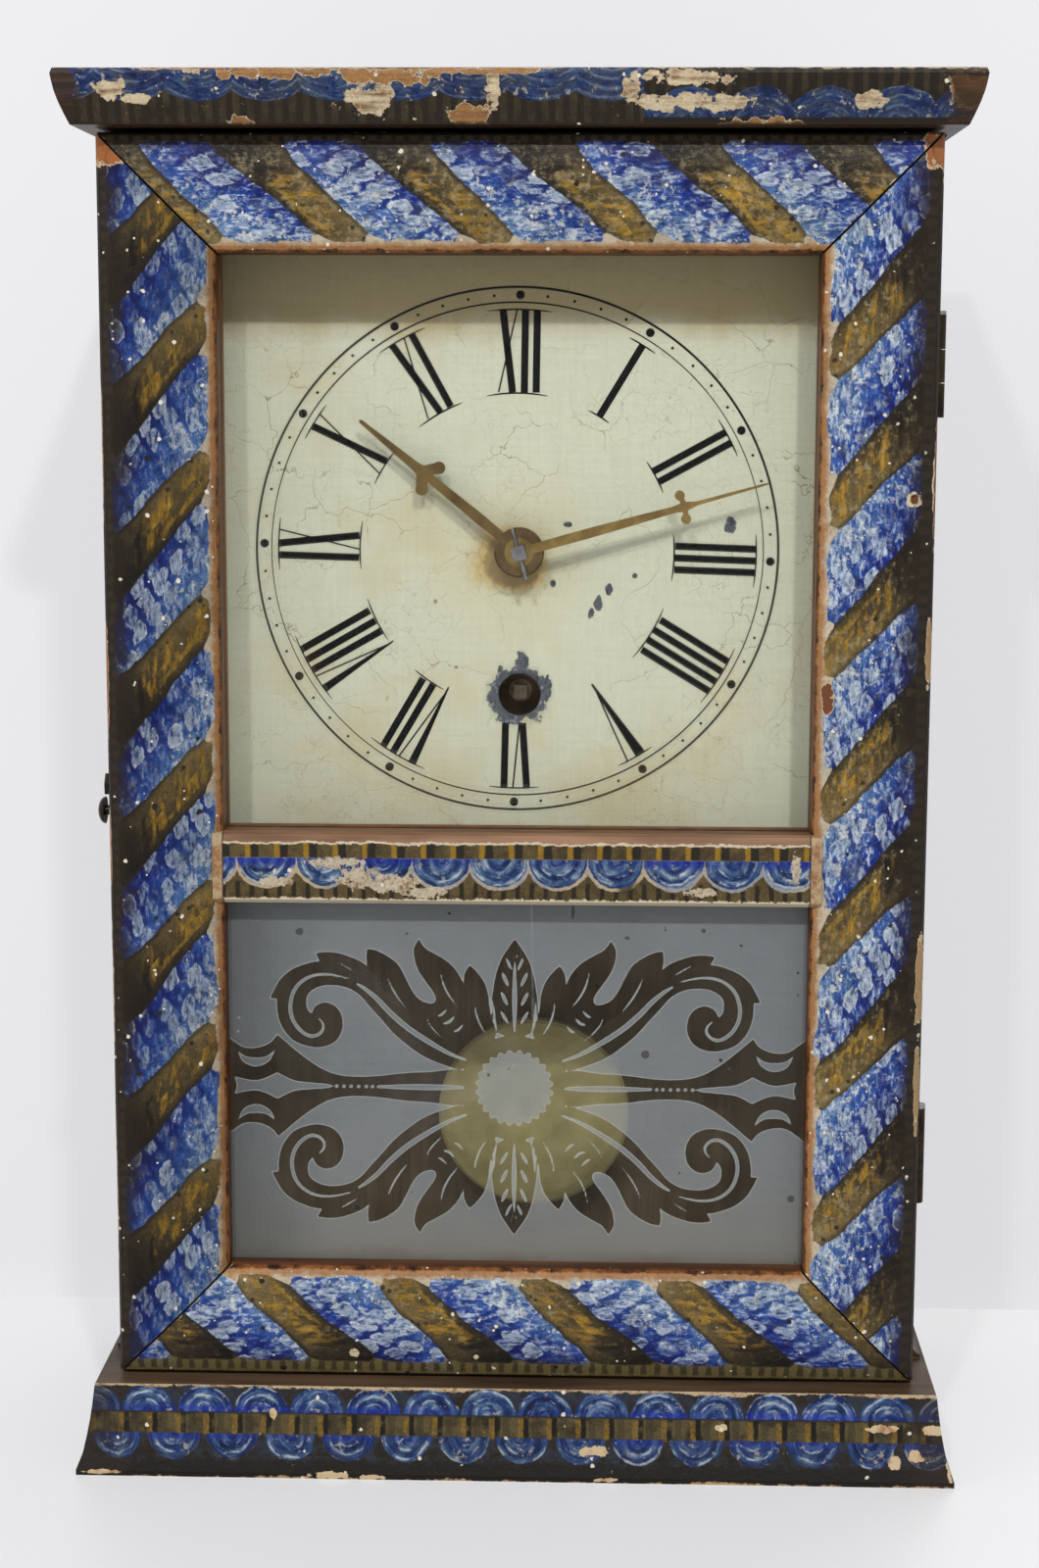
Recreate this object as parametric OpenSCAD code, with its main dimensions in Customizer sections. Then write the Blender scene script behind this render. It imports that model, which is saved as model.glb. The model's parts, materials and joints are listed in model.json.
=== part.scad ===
// Cottage clock: a painted wooden case with a two-pane door, a zinc dial and a
// one-day pendulum movement of brass plates. Millimetres, +Z up, front towards -Y,
// origin under the middle of the base.

/* [Overall] */
// Height from the table to the top of the cornice
total_h = 305; // [296:1:330]
// Width across the outsides of the two case sides
case_w = 177.7; // [172:0.1:190]
// Depth of the case sides, from front edge to back edge
case_d = 66; // [65:1:80]

/* [Case] */
// Thickness of the case sides
side_t = 8; // [7:0.5:10]
// Thickness of the back board
back_t = 5; // [3:0.5:6]
// Width of the rabbet that the back board sits in
back_rabbet = 4; // [3:0.5:5]
// Thickness of the bottom board
bottom_t = 8; // [5:0.5:12]
// Leg of the triangular glue blocks
block_leg = 10; // [6:1:12]
// Room between the door and the case, front to back
door_gap = 0.4; // [0.3:0.1:1]

/* [Base and cornice] */
// Height of the base moulding up to its ledge
base_h = 20; // [16:0.5:24]
// How far the base stands out at the table
base_out_low = 8.6; // [8:0.1:12]
// How far the base stands out at its ledge
base_out_top = 4.6; // [3.6:0.1:6]
// Height of the cove that rises from the ledge along each side
cove_h = 9.6; // [6:0.2:12]
// Height of the cornice moulding
cornice_h = 11.2; // [9:0.2:14]
// How far the cornice stands out at its lower edge
cornice_out_low = 4.2; // [3:0.1:5]
// How far the cornice stands out at its top
cornice_out_top = 7.5; // [6:0.1:9]
// Drop of the small bed bead under the side cornices
bead_drop = 0.8; // [0.4:0.1:0.9]

/* [Door] */
// Thickness of the door
door_t = 17; // [16:0.5:20]
// Width of the mitred frame moulding
frame_w = 24.8; // [23:0.1:27]
// Room under and over the door
door_clear = 0.5; // [0.3:0.1:0.9]
// Height of the upper window
upper_h = 124; // [120:0.5:128]
// Height of the rail between the windows
rail_h = 15.8; // [14:0.1:18]
// Fall of the moulding's face from its crown to its outer edge
crown_fall = 1.4; // [0.6:0.1:2]
// Distance of the crown from the outer edge
crown_at = 10; // [8:0.5:12]
// Radius of the worn round at the window edge
sight_r = 2.3; // [1.5:0.1:3]
// Open joint between two mitred pieces
mitre_gap = 0.3; // [0.1:0.05:0.5]
// Depth of the glass behind the door's face
glass_at = 8; // [7:0.1:9]
// Thickness of the two panes
glass_t = 1.8; // [1.5:0.1:2.2]
// Width of the rabbet that the glass lies in
glass_rabbet = 4; // [3:0.1:4.5]
// Room round the glass in its rabbet
glass_clear = 0.3; // [0.1:0.05:0.5]
// Depth of the strips that hold the glass
strip_t = 3.6; // [2.5:0.1:4]

// Width of the splinter lost from the door's upper right corner
chip_w = 4.6; // [3:0.1:6]
// Height of that splinter
chip_h = 11; // [8:0.5:14]
// Depth of that splinter
chip_deep = 1.4; // [0.8:0.1:2]
// Height of an old nail hole in the right stile
nail_hole_z = 216.8; // [60:0.1:260]
// Distance of that hole from the stile's outer edge
nail_hole_in = 4.4; // [3:0.1:10]

/* [Hinges and latch] */
// Radius of the hinge knuckles
knuckle_r = 1.6; // [1.4:0.1:2]
// Radius of the hinge pins
hinge_pin_r = 0.8; // [0.6:0.05:0.9]
// Running room of the hinge pin in the door's knuckle
hinge_run = 0.06; // [0.03:0.01:0.1]
// Height of each hinge
hinge_h = 22; // [18:1:30]
// Width of a hinge leaf let into the wood
leaf_w = 6.4; // [5:0.1:6.8]
// Thickness of a hinge leaf
leaf_t = 0.8; // [0.6:0.1:1]
// Distance of each hinge's middle from the door's end
hinge_in = 48; // [40:1:60]
// Height of the latch pin above the table
latch_z = 147.5; // [120:0.5:180]
// Distance of the latch pin behind the door's face
latch_in = 8.5; // [7:0.1:10]
// Radius of the latch pin's shank
latch_pin_r = 1.1; // [0.9:0.1:1.4]
// Radius of the latch pin's domed head
latch_head_r = 3; // [2.4:0.1:3.4]
// Thickness of the latch hook
hook_t = 1.2; // [1:0.1:1.5]
// Width of the hook's arm
hook_w = 2.4; // [2:0.1:3]
// Distance from the hook's pivot to the latch pin
hook_l = 31; // [26:0.5:36]
// Angle by which the hook rests lifted off its pin
hook_lift = 8; // [7:0.5:12]

/* [Dial and hands] */
// Distance of the dial behind the front edge of the case
dial_recess = 5.1; // [4.5:0.1:6]
// Thickness of the zinc dial
dial_t = 0.6; // [0.5:0.1:1]
// Room between the dial's edge and the side of the case
dial_room = 4.85; // [4:0.05:6]
// Height of the dial above the hand arbor
dial_up = 75; // [72:1:77]
// Height of the dial below the hand arbor
dial_down = 70; // [66:1:71]
// Radius of the hole for the hour pipe
dial_hole_r = 4.2; // [4:0.1:5]
// Radius of the winding hole
wind_hole_r = 4.75; // [4.4:0.05:5.5]
// Distance of the hand arbor below the top of the door
arbor_drop = 88.6; // [86:0.1:90]
// Distance of the winding arbor below the hand arbor
wind_drop = 32.1; // [31.8:0.1:33]
// Length of the minute hand
minute_l = 56.4; // [50:0.2:60]
// Length of the hour hand
hour_l = 45.3; // [40:0.1:48]
// Thickness of both hands
hand_t = 0.6; // [0.5:0.05:0.8]
// Direction of the minute hand, clockwise from the top of the dial
minute_turn = 74.3; // [0:0.1:360]
// Direction of the hour hand, clockwise from the top of the dial
hour_turn = 309.1; // [0:0.1:360]
// Size of the square on the end of the hand arbor
arbor_sq = 3.1; // [2.8:0.1:3.1]
// Radius of the round part of the hand arbor
arbor_r = 2.25; // [2.2:0.01:2.3]

/* [Movement] */
// Thickness of the two brass plates
plate_t = 1.2; // [1:0.1:1.5]
// Clear distance between the plates
plate_gap = 24; // [24:0.5:26]
// Clear distance between the dial and the front plate
dial_gap = 7.9; // [7.7:0.1:9]
// Width of the plates
plate_w = 76; // [74:1:84]
// Height of the plates above the hand arbor
plate_up = 47; // [45:1:50]
// Height of the plates below the hand arbor
plate_down = 62; // [60:1:64]
// Radius of the four pillars
pillar_r = 2.2; // [2:0.1:3]
// Distance of each pillar from the edges of the plates
pillar_in = 5.5; // [5:0.5:7]
// Running room of a pivot in its plate
pivot_run = 0.05; // [0.02:0.01:0.1]
// Width of the wooden rails that carry the movement
rail_w = 16; // [13:1:18]

/* [Train] */
// Teeth of the great wheel
great_n = 72; // [72:1:72]
// Leaves of the pinion on the hand arbor
center_pn = 12; // [12:1:12]
// Teeth of the center wheel
center_n = 72; // [70:1:74]
// Module of the center wheel and its pinion
center_m = 0.52; // [0.51:0.01:0.52]
// Teeth of the third wheel
third_n = 70; // [68:1:72]
// Module of the third wheel and its pinion
third_m = 0.48; // [0.47:0.01:0.48]
// Leaves of the two small pinions
small_pn = 7; // [7:1:7]
// Distance of the escape arbor above the hand arbor
escape_rise = 20.5; // [20.4:0.1:21]
// Teeth of the escape wheel
escape_n = 42; // [36:1:44]
// Radius of the escape wheel
escape_r = 11; // [10:0.1:11]
// Distance of the verge arbor above the hand arbor
verge_rise = 36; // [35.6:0.1:37]
// Radius of the crutch's hub behind the back plate
crutch_hub_r = 1.6; // [1.4:0.1:2]
// Room between the crutch's hub and the foot of the suspension cock
cock_room = 2.1; // [1:0.1:2.2]
// Distance of the third wheel behind the front plate
third_wheel_in = 9.2; // [9:0.1:9.4]
// Distance of the escape wheel behind the front plate
escape_wheel_in = 18.2; // [18:0.1:18.4]
// Distance of the mainspring behind the front plate
spring_in = 4.2; // [4:0.1:4.4]
// Distance of the hour hand in front of the dial, to its front face
hands_out = 4.3; // [4.2:0.1:4.6]
// Radius of the hour wheel's solid middle
hour_hub_r = 4.4; // [4.2:0.1:4.6]
// Teeth of the pinion that drives the motion work
cannon_n = 12; // [12:1:12]
// Teeth of the minute wheel
minute_n = 36; // [36:1:36]
// Leaves of the minute wheel's pinion
minute_pn = 10; // [10:1:10]
// Teeth of the hour wheel
hour_n = 40; // [40:1:40]
// Distance of the minute wheel's stud from the hand arbor
motion_d = 12.48; // [12.3:0.01:12.7]
// Thickness of the train wheels
wheel_t = 1; // [0.8:0.1:1.2]
// Thickness of the great wheel
great_t = 1.5; // [1.2:0.1:1.8]
// Radius of the wound mainspring
spring_r = 24.5; // [22:0.5:24.5]
// Width of the mainspring
spring_w = 13.5; // [11:0.5:13.5]
// Thickness of the mainspring
spring_t = 0.4; // [0.3:0.05:0.6]
// Turns of the mainspring
spring_turns = 7; // [5:1:9]

/* [Pendulum] */
// Height of the bob's middle above the ground
bob_z = 63.9; // [62:0.1:70]
// Angle at which the pendulum is caught, towards the right
pend_rest = 0.8; // [0:0.1:2]
// Diameter of the bob
bob_d = 46.6; // [42:0.1:48]
// Thickness of the bob at its middle
bob_t = 9; // [7:0.5:10]
// Radius of the pendulum rod
rod_r = 0.75; // [0.6:0.05:0.9]
// Distance of the rod behind the back plate
rod_back = 8.6; // [8:0.1:9.5]

/* [Hidden] */
$fn = 48;

// Planes from front to back
door_front_y = -(base_out_low + door_t + door_gap + case_d) / 2 + base_out_low;
door_back_y = door_front_y + door_t;
case_front_y = door_back_y + door_gap;
case_back_y = case_front_y + case_d;
board_y = case_back_y - back_t;
glass_y = door_front_y + glass_at;
dial_y = case_front_y + dial_recess;
front_plate_y = dial_y + dial_t + dial_gap;
inside_y = front_plate_y + plate_t;
back_plate_y = inside_y + plate_gap;
plate_back_y = back_plate_y + plate_t;
rod_y = plate_back_y + rod_back;

// Heights
side_top_z = total_h - cornice_h;
door_bottom_z = base_h + door_clear;
door_top_z = side_top_z - 2 * door_clear;
door_h = door_top_z - door_bottom_z;
rail_top_z = door_top_z - frame_w - upper_h;
rail_bottom_z = rail_top_z - rail_h;
arbor_z = door_top_z - arbor_drop;
wind_z = arbor_z - wind_drop;
verge_z = arbor_z + verge_rise;
pend_l = verge_z - bob_z;

// Half widths
half_w = case_w / 2;
inner_half = half_w - side_t;
window_half = half_w - frame_w;

// Pitch radii and arbor places in the train, as [x, z] from the hand arbor
great_m = 2 * wind_drop / (great_n + center_pn);
great_r = great_m * great_n / 2;
center_pr = great_m * center_pn / 2;
center_r = center_m * center_n / 2;
third_pr = center_m * small_pn / 2;
third_r = third_m * third_n / 2;
escape_pr = third_m * small_pn / 2;
to_center = center_r + third_pr;
to_escape = third_r + escape_pr;
third_up = (to_center ^ 2 - to_escape ^ 2 + escape_rise ^ 2) / (2 * escape_rise);
third_pos = [-sqrt(to_center ^ 2 - third_up ^ 2), third_up];
escape_pos = [0, escape_rise];
verge_pos = [0, verge_rise];
cock_low = verge_rise + crutch_hub_r + cock_room;
cock_screw_z = (cock_low + plate_up) / 2;
wind_pos = [0, -wind_drop];
cannon_r = motion_d * cannon_n / (cannon_n + minute_n);
minute_r = motion_d - cannon_r;
minute_pr = motion_d * minute_pn / (minute_pn + hour_n);
hour_r = motion_d - minute_pr;
minute_pos = [motion_d, 0];

// Small sizes of the movement
arbor_thin_r = 1.6;
fine_arbor_r = 0.8;
pivot_r = 0.5;
wind_r = 2.5;
wind_sq = 3;
wind_end_y = front_plate_y - 3;
ratchet_t = 1.4;
ratchet_r = 9;
ratchet_n = 20;
hour_pipe_r = 3.1;
pillar_x = plate_w / 2 - pillar_in;
pillar_top = plate_up - pillar_in;
pillar_low = plate_down - pillar_in;
pillar_spots = [for (sx = [-1, 1]) for (z = [pillar_top, -pillar_low]) [sx * pillar_x, z]];
ear_x = plate_w / 2 + 14;
ear_h = 9;
ear_spots = [for (sx = [-1, 1]) for (z = [plate_up - 7, -plate_down + 7]) [sx * (ear_x - 6), z]];
movement_rail_x = ear_x - 6 - rail_w / 2;
screw_r = 1.3;
screw_l = 12;
nail_r = 0.6;
nail_l = 8;
nail_in = 2.2;
rod_foot = 6;
dial_rail_grip = 5;
dial_rail_deep = 10;
dial_w = 2 * (inner_half - dial_room);
nail_x = dial_w / 2 - nail_in;
nail_spots = [for (sx = [-1, 1]) for (z = [dial_up - 5, -dial_down + 5]) [sx * nail_x, z]];
dial_rail_w = dial_room + dial_rail_grip;

// Where each wheel lies, measured back from the front plate's inner face
center_wheel_y = inside_y + 1.2;
third_wheel_y = inside_y + third_wheel_in;
escape_wheel_y = inside_y + escape_wheel_in;
great_wheel_y = back_plate_y - 3.3;
ratchet_y = great_wheel_y - 0.2 - ratchet_t;
spring_y = inside_y + spring_in;
hour_wheel_y = dial_y + dial_t + 1.9;
minute_wheel_y = front_plate_y - 3;
hour_hand_y = dial_y - hands_out;
minute_hand_y = hour_hand_y - 2.8;

// Hinge and latch places
hinge_x = half_w + knuckle_r;
hinge_y = door_back_y + door_gap / 2;
hinge_spots = [door_bottom_z + hinge_in, door_top_z - hinge_in];
latch_y = door_front_y + latch_in;
hook_x = -half_w - 0.4 - hook_t;
hook_pivot_z = latch_z + latch_pin_r + 0.3 + hook_w / 2;

// A box between its lowest and highest corner
module box(low, high) {
  translate(low)
    cube(high - low);
}

// A flat outline drawn in X and Z, made solid from y0 back to y1
module along_y(y0, y1) {
  translate([0, y1, 0])
    rotate([90, 0, 0])
      linear_extrude(y1 - y0)
        children();
}

// An outline drawn in Y and Z, made solid from x0 to x1
module along_x(x0, x1) {
  translate([x0, 0, 0])
    rotate([90, 0, 90])
      linear_extrude(x1 - x0)
        children();
}

// Children moved to a place [x, z] counted from the hand arbor
module at_arbor(pos = [0, 0]) {
  translate([pos[0], 0, arbor_z + pos[1]])
    children();
}

// A round bar along Y
module bar(r, y0, y1) {
  along_y(y0, y1)
    circle(r);
}

// A body of revolution about Y: points are [radius, y]
module turned_y(points) {
  rotate([-90, 0, 0])
    rotate_extrude()
      polygon(points);
}

// A slotted round-head screw pointing back: head in front of y, shank of length l behind it
module screw(y, l, r, head_r) {
  dome = [for (a = [0:15:90]) [head_r * cos(a), -0.55 * head_r * sin(a)]];
  difference() {
    translate([0, y, 0])
      turned_y(concat([[0, l], [r, l - r], [r, 0]], dome));
    box([-0.3, y - head_r, -head_r], [0.3, y - 0.2 * head_r, head_r]);
  }
}

// Outline of the side of the base moulding, as [outwards, height]
function base_outline() = concat(
  [[0, 0], [base_out_low, 0], [base_out_low, 0.06 * base_h]],
  [for (s = [0.2:0.2:0.8]) [
    base_out_low - 0.5 - (base_out_low - base_out_top - 0.7) * (s + 0.12 * sin(180 * s)),
    base_h * (0.06 + 0.9 * s)
  ]],
  [[base_out_top + 0.2, 0.96 * base_h], [base_out_top, base_h], [0, base_h]]
);

// Plan of one mitred run of moulding round the case: 0 front, 1 right, -1 left
module mitre_plan(side, reach) {
  corner = door_front_y;
  if (side == 0)
    polygon([
      [-half_w, corner], [-half_w - reach, corner - reach],
      [half_w + reach, corner - reach], [half_w, corner]
    ]);
  else
    polygon([
      [side * half_w, corner], [side * (half_w + reach), corner - reach],
      [side * (half_w + reach), case_back_y], [side * half_w, case_back_y]
    ]);
}

// A moulding run: its outline [outwards, height] carried along the front or a side
module moulding_run(side, outline, reach) {
  high = max([for (p = outline) p[1]]);
  intersection() {
    if (side == 0)
      translate([0, door_front_y, 0])
        along_x(-half_w - reach, half_w + reach)
          polygon([for (p = outline) [-p[0], p[1]]]);
    else
      along_y(door_front_y - reach, case_back_y)
        polygon([for (p = outline) [side * (half_w + p[0]), p[1]]]);
    translate([0, 0, -1])
      linear_extrude(high + 2)
        mitre_plan(side, reach);
  }
}

// Front of the base: the moulding and the ledge that runs under the door
module base_front() {
  color("#4a4438") {
    moulding_run(0, base_outline(), base_out_low);
    box([-half_w, door_front_y, 0], [half_w, case_front_y, base_h]);
  }
}

// Side of the base, with the cove that rises behind the door
module base_side(side) {
  cove_out = base_out_top - 1;
  cove = concat(
    [[0, base_h - 1], [cove_out, base_h - 1], [cove_out, base_h + 0.8]],
    [for (a = [15:15:75]) [cove_out - (cove_out - 0.6) * sin(a), base_h + cove_h - (cove_h - 0.8) * cos(a)]],
    [[0.6, base_h + cove_h], [0, base_h + cove_h]]
  );
  color("#4a4438") {
    moulding_run(side, base_outline(), base_out_low);
    along_y(case_front_y + door_clear, case_back_y)
      polygon([for (p = cove) [side * (half_w + p[0]), p[1]]]);
  }
}

module base_left() {
  base_side(-1);
}

module base_right() {
  base_side(1);
}

module bottom_board() {
  color("#7a5a3a")
    box([-inner_half, case_front_y, base_h - bottom_t], [inner_half, board_y, base_h]);
}

// Case side with the rabbet for the back board
module case_side(side) {
  difference() {
    box([min(side * inner_half, side * half_w), case_front_y, 0],
        [max(side * inner_half, side * half_w), case_back_y, side_top_z]);
    box([min(side * (inner_half - 1), side * (inner_half + back_rabbet)), board_y, -1],
        [max(side * (inner_half - 1), side * (inner_half + back_rabbet)), case_back_y + 1, side_top_z + 1]);
  }
}

module left_side() {
  color("#6b4a30")
    difference() {
      case_side(-1);
      latch_screw_shape();
    }
}

module right_side() {
  color("#6b4a30")
    difference() {
      case_side(1);
      hinge_case_shape();
    }
}

module top_board() {
  color("#6b4a30")
    box([-half_w, door_front_y, side_top_z], [half_w, case_back_y, total_h]);
}

module back_board() {
  back_half = inner_half + back_rabbet;
  color("#7a5a3a")
    box([-back_half, board_y, base_h - bottom_t], [back_half, case_back_y, side_top_z]);
}

// Outline of the cornice, as [outwards, height above its lower edge]
function cornice_outline() = concat(
  [[0, 0], [cornice_out_low, 0]],
  [for (s = [0.2:0.2:0.8]) [
    cornice_out_low + (cornice_out_top - cornice_out_low) * sin(90 * s),
    cornice_h * s
  ]],
  [[cornice_out_top, 0.9 * cornice_h], [cornice_out_top - 0.4, cornice_h], [0, cornice_h]]
);

// The bed bead stops at the case, so that the door's corner passes under the cornice
module cornice_side(side) {
  color("#4a4438")
    translate([0, 0, side_top_z]) {
      moulding_run(side, cornice_outline(), cornice_out_top);
      along_y(case_front_y + door_clear, case_back_y)
        polygon([
          [side * half_w, -bead_drop], [side * (half_w + 1.8), -bead_drop],
          [side * (half_w + 2.3), -bead_drop / 2], [side * (half_w + 2.3), 0.5],
          [side * half_w, 0.5]
        ]);
    }
}

module cornice_front() {
  color("#4a4438")
    translate([0, 0, side_top_z])
      moulding_run(0, cornice_outline(), cornice_out_top);
}

module cornice_left() {
  cornice_side(-1);
}

module cornice_right() {
  cornice_side(1);
}

// Four triangular blocks glued into the corners of the case
module glue_blocks() {
  y0 = dial_y + 8;
  color("#8a6a45")
    for (sx = [-1, 1])
      for (end = [[base_h, 1], [side_top_z, -1]])
        along_y(y0, board_y)
          polygon([
            [sx * inner_half, end[0]], [sx * (inner_half - block_leg), end[0]],
            [sx * inner_half, end[0] + end[1] * block_leg]
          ]);
}

// Height of the moulding's face behind the door's front plane, u from its outer edge
function face_fall(u) = crown_fall * ((u - crown_at) / crown_at) ^ 2;

// Section of the door frame as [depth, distance from the outer edge]
function frame_section() = let (edge = frame_w - sight_r, fall = face_fall(edge)) concat(
  [[door_t, 0], [face_fall(0) + 0.6, 0]],
  [for (u = [0.6, 3, 6, 10, 14, 18, edge]) [face_fall(u), u]],
  [for (a = [22.5:22.5:90]) [fall + sight_r * (1 - cos(a)), edge + sight_r * sin(a)]],
  [[glass_at, frame_w], [glass_at, frame_w - glass_rabbet], [door_t, frame_w - glass_rabbet]]
);

// One mitred member, lying along X with its outer edge up
module frame_member(length) {
  cut = mitre_gap / 2 * sqrt(2);
  intersection() {
    along_x(-length / 2, length / 2)
      polygon([for (p = frame_section()) [p[0], -p[1]]]);
    along_y(-1, door_t + 1)
      polygon([
        [-length / 2 + cut, 0.001], [length / 2 - cut, 0.001],
        [length / 2 - frame_w - cut - 1, -frame_w - 1], [-length / 2 + frame_w + cut + 1, -frame_w - 1]
      ]);
  }
}

// The splinter that has come off the door's upper right corner
module corner_splinter() {
  translate([half_w, door_front_y, door_top_z])
    along_y(-1, chip_deep)
      polygon([
        [-chip_w, 1], [1, 1], [1, -chip_h], [-0.2, -chip_h], [-0.3 * chip_w, -0.72 * chip_h],
        [-0.5 * chip_w, -0.5 * chip_h], [-0.62 * chip_w, -0.3 * chip_h], [-0.95 * chip_w, -0.16 * chip_h]
      ]);
}

module door_top_rail() {
  color("#3d4f8a")
    difference() {
      translate([0, door_front_y, door_top_z])
        frame_member(case_w);
      corner_splinter();
    }
}

module door_bottom_rail() {
  color("#3d4f8a")
    translate([0, door_front_y, door_bottom_z])
      mirror([0, 0, 1])
        frame_member(case_w);
}

module stile(side) {
  translate([side * half_w, door_front_y, (door_top_z + door_bottom_z) / 2])
    rotate([0, side * 90, 0])
      frame_member(door_h);
}

module door_left_stile() {
  color("#3d4f8a")
    difference() {
      stile(-1);
      latch_pin_shape();
    }
}

module door_right_stile() {
  color("#3d4f8a")
    difference() {
      stile(1);
      hinge_door_shape();
      corner_splinter();
      translate([half_w - nail_hole_in, door_front_y + 1.2, nail_hole_z])
        along_y(-2, 0)
          circle(1.2);
    }
}

// Rail between the windows, coped over the stiles' rounded edges
module door_cross_rail() {
  face = 1;
  bevel = 2;
  web = rail_h - 2 * glass_rabbet;
  low = rail_bottom_z;
  high = rail_top_z;
  color("#3d4f8a")
    difference() {
      translate([0, door_front_y, 0])
        along_x(-window_half - sight_r, window_half + sight_r)
          polygon([
            [face, low + bevel / 2], [face, high - bevel], [face + 0.7, high - 0.4], [face + 2.4, high],
            [glass_at, high], [glass_at, high - glass_rabbet], [door_t, high - glass_rabbet],
            [door_t, high - glass_rabbet - web], [glass_at, low + glass_rabbet], [glass_at, low],
            [face + 1.6, low]
          ]);
      for (side = [-1, 1])
        stile(side);
      for (side = [-1, 1])
        translate([side * (window_half + glass_rabbet), door_front_y + glass_at + (door_t - glass_at) / 2 + 0.5, low])
          cube([2 * glass_rabbet, door_t - glass_at + 1, 3 * rail_h], center = true);
    }
}

// One pane behind a window
module pane(low, high) {
  half = window_half + glass_rabbet - glass_clear;
  reach = glass_rabbet - glass_clear;
  box([-half, glass_y, low - reach], [half, glass_y + glass_t, high + reach]);
}

module dial_glass() {
  color("#dfe8e8", 0.3)
    pane(rail_top_z, door_top_z - frame_w);
}

module tablet_glass() {
  color("#8a979c", 0.6)
    pane(door_bottom_z + frame_w, rail_bottom_z);
}

// Four strips that hold one pane, cut square at their ends
module strips(low, high) {
  y0 = glass_y + glass_t;
  y1 = y0 + strip_t;
  half = window_half + glass_rabbet;
  w = glass_rabbet;
  box([-half, y0, high], [half, y1, high + w]);
  box([-half, y0, low - w], [half, y1, low]);
  for (sx = [-1, 1])
    box([min(sx * window_half, sx * half), y0, low + 0.1], [max(sx * window_half, sx * half), y1, high - 0.1]);
}

module glass_strips() {
  color("#8a6a45") {
    strips(rail_top_z, door_top_z - frame_w);
    strips(door_bottom_z + frame_w, rail_bottom_z);
  }
}

// A hinge leaf with its knuckles; level is 0 for the outer pair and 1 for the middle one
module hinge_leaf(y0, y1, middle, bore_r) {
  third = hinge_h / 3;
  knuckles = middle ? [[-third / 2 + 0.15, third / 2 - 0.15]]
                    : [[-hinge_h / 2, -third / 2], [third / 2, hinge_h / 2]];
  box([half_w - leaf_w, y0, -hinge_h / 2], [half_w - 0.15, y1, hinge_h / 2]);
  for (k = knuckles)
    difference() {
      union() {
        translate([hinge_x, hinge_y, k[0]])
          cylinder(r = knuckle_r, h = k[1] - k[0]);
        box([half_w - 1, y0, k[0]], [hinge_x, y1, k[1]]);
      }
      translate([hinge_x, hinge_y, k[0] - 1])
        cylinder(r = bore_r, h = k[1] - k[0] + 2);
    }
}

module hinge_case_shape() {
  for (z = hinge_spots)
    translate([0, 0, z])
      hinge_leaf(case_front_y, case_front_y + leaf_t, false, hinge_pin_r);
}

module hinge_door_shape() {
  for (z = hinge_spots)
    translate([0, 0, z])
      hinge_leaf(door_back_y - leaf_t, door_back_y, true, hinge_pin_r + hinge_run);
}

module hinge_case_leaves() {
  color("#9a7b3f")
    hinge_case_shape();
}

module hinge_door_leaves() {
  color("#9a7b3f")
    hinge_door_shape();
}

module hinge_pins() {
  color("#77777a")
    for (z = hinge_spots)
      translate([hinge_x, hinge_y, z - hinge_h / 2]) {
        cylinder(r = hinge_pin_r, h = hinge_h);
        translate([0, 0, hinge_h])
          cylinder(r = knuckle_r, h = 0.8);
      }
}

// A round-head pin that stands out of the left, its shank in the wood
module side_pin(y, z, r, head_r, stand, head_t, into) {
  dome = [for (a = [0:15:90]) [head_r * cos(a), stand + head_t * sin(a)]];
  translate([-half_w, y, z])
    rotate([0, -90, 0])
      rotate_extrude()
        polygon(concat([[0, -into], [r, -into + r], [r, stand]], dome));
}

module latch_pin_shape() {
  side_pin(latch_y, latch_z, latch_pin_r, latch_head_r, hook_t + 0.8, 1.6, 12);
}

module latch_pin() {
  color("#2b2b26")
    latch_pin_shape();
}

module latch_screw_shape() {
  side_pin(latch_y + hook_l, hook_pivot_z, latch_pin_r, 2.4, hook_t + 0.8, 1.1, side_t - 1.5);
}

module latch_screw() {
  color("#8c8c86")
    latch_screw_shape();
}

// Hook on the case side, drawn level on its pin and then lifted to where it rests
module latch_hook() {
  nose = latch_pin_r + 0.35;
  low = -hook_w / 2;
  color("#c8b48a")
    translate([hook_x, latch_y + hook_l, hook_pivot_z])
      rotate([-hook_lift, 0, 0])
        difference() {
          along_x(0, hook_t) {
            circle(r = hook_w);
            polygon([
              [0, low], [0, -low], [-hook_l + 4, -low], [-hook_l - nose - 1, -low],
              [-hook_l - nose - 2.2, low], [-hook_l - nose - 1.6, low - 2.2],
              [-hook_l - nose, low - 2.2], [-hook_l - nose, low]
            ]);
          }
          translate([-1, 0, 0])
            rotate([0, 90, 0])
              cylinder(r = latch_pin_r + pivot_run, h = hook_t + 2);
        }
}

// Wooden strips on the case sides that the dial is nailed to
module dial_rails() {
  y0 = dial_y + dial_t;
  low = arbor_z - dial_down - 2;
  high = arbor_z + dial_up + 2;
  color("#8a6a45")
    difference() {
      for (sx = [-1, 1])
        box([min(sx * inner_half, sx * (inner_half - dial_rail_w)), y0, low],
            [max(sx * inner_half, sx * (inner_half - dial_rail_w)), y0 + dial_rail_deep, high]);
      nail_shapes();
    }
}

module dial() {
  color("#cfcdb4")
    difference() {
      at_arbor()
        along_y(dial_y, dial_y + dial_t)
          difference() {
            translate([-dial_w / 2, -dial_down])
              square([dial_w, dial_up + dial_down]);
            circle(dial_hole_r);
            translate(wind_pos)
              circle(wind_hole_r);
          }
      nail_shapes();
    }
}

module nail_shapes() {
  for (spot = nail_spots)
    at_arbor(spot) {
      bar(nail_r, dial_y, dial_y + nail_l);
      bar(2.4 * nail_r, dial_y - 0.5, dial_y);
    }
}

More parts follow.
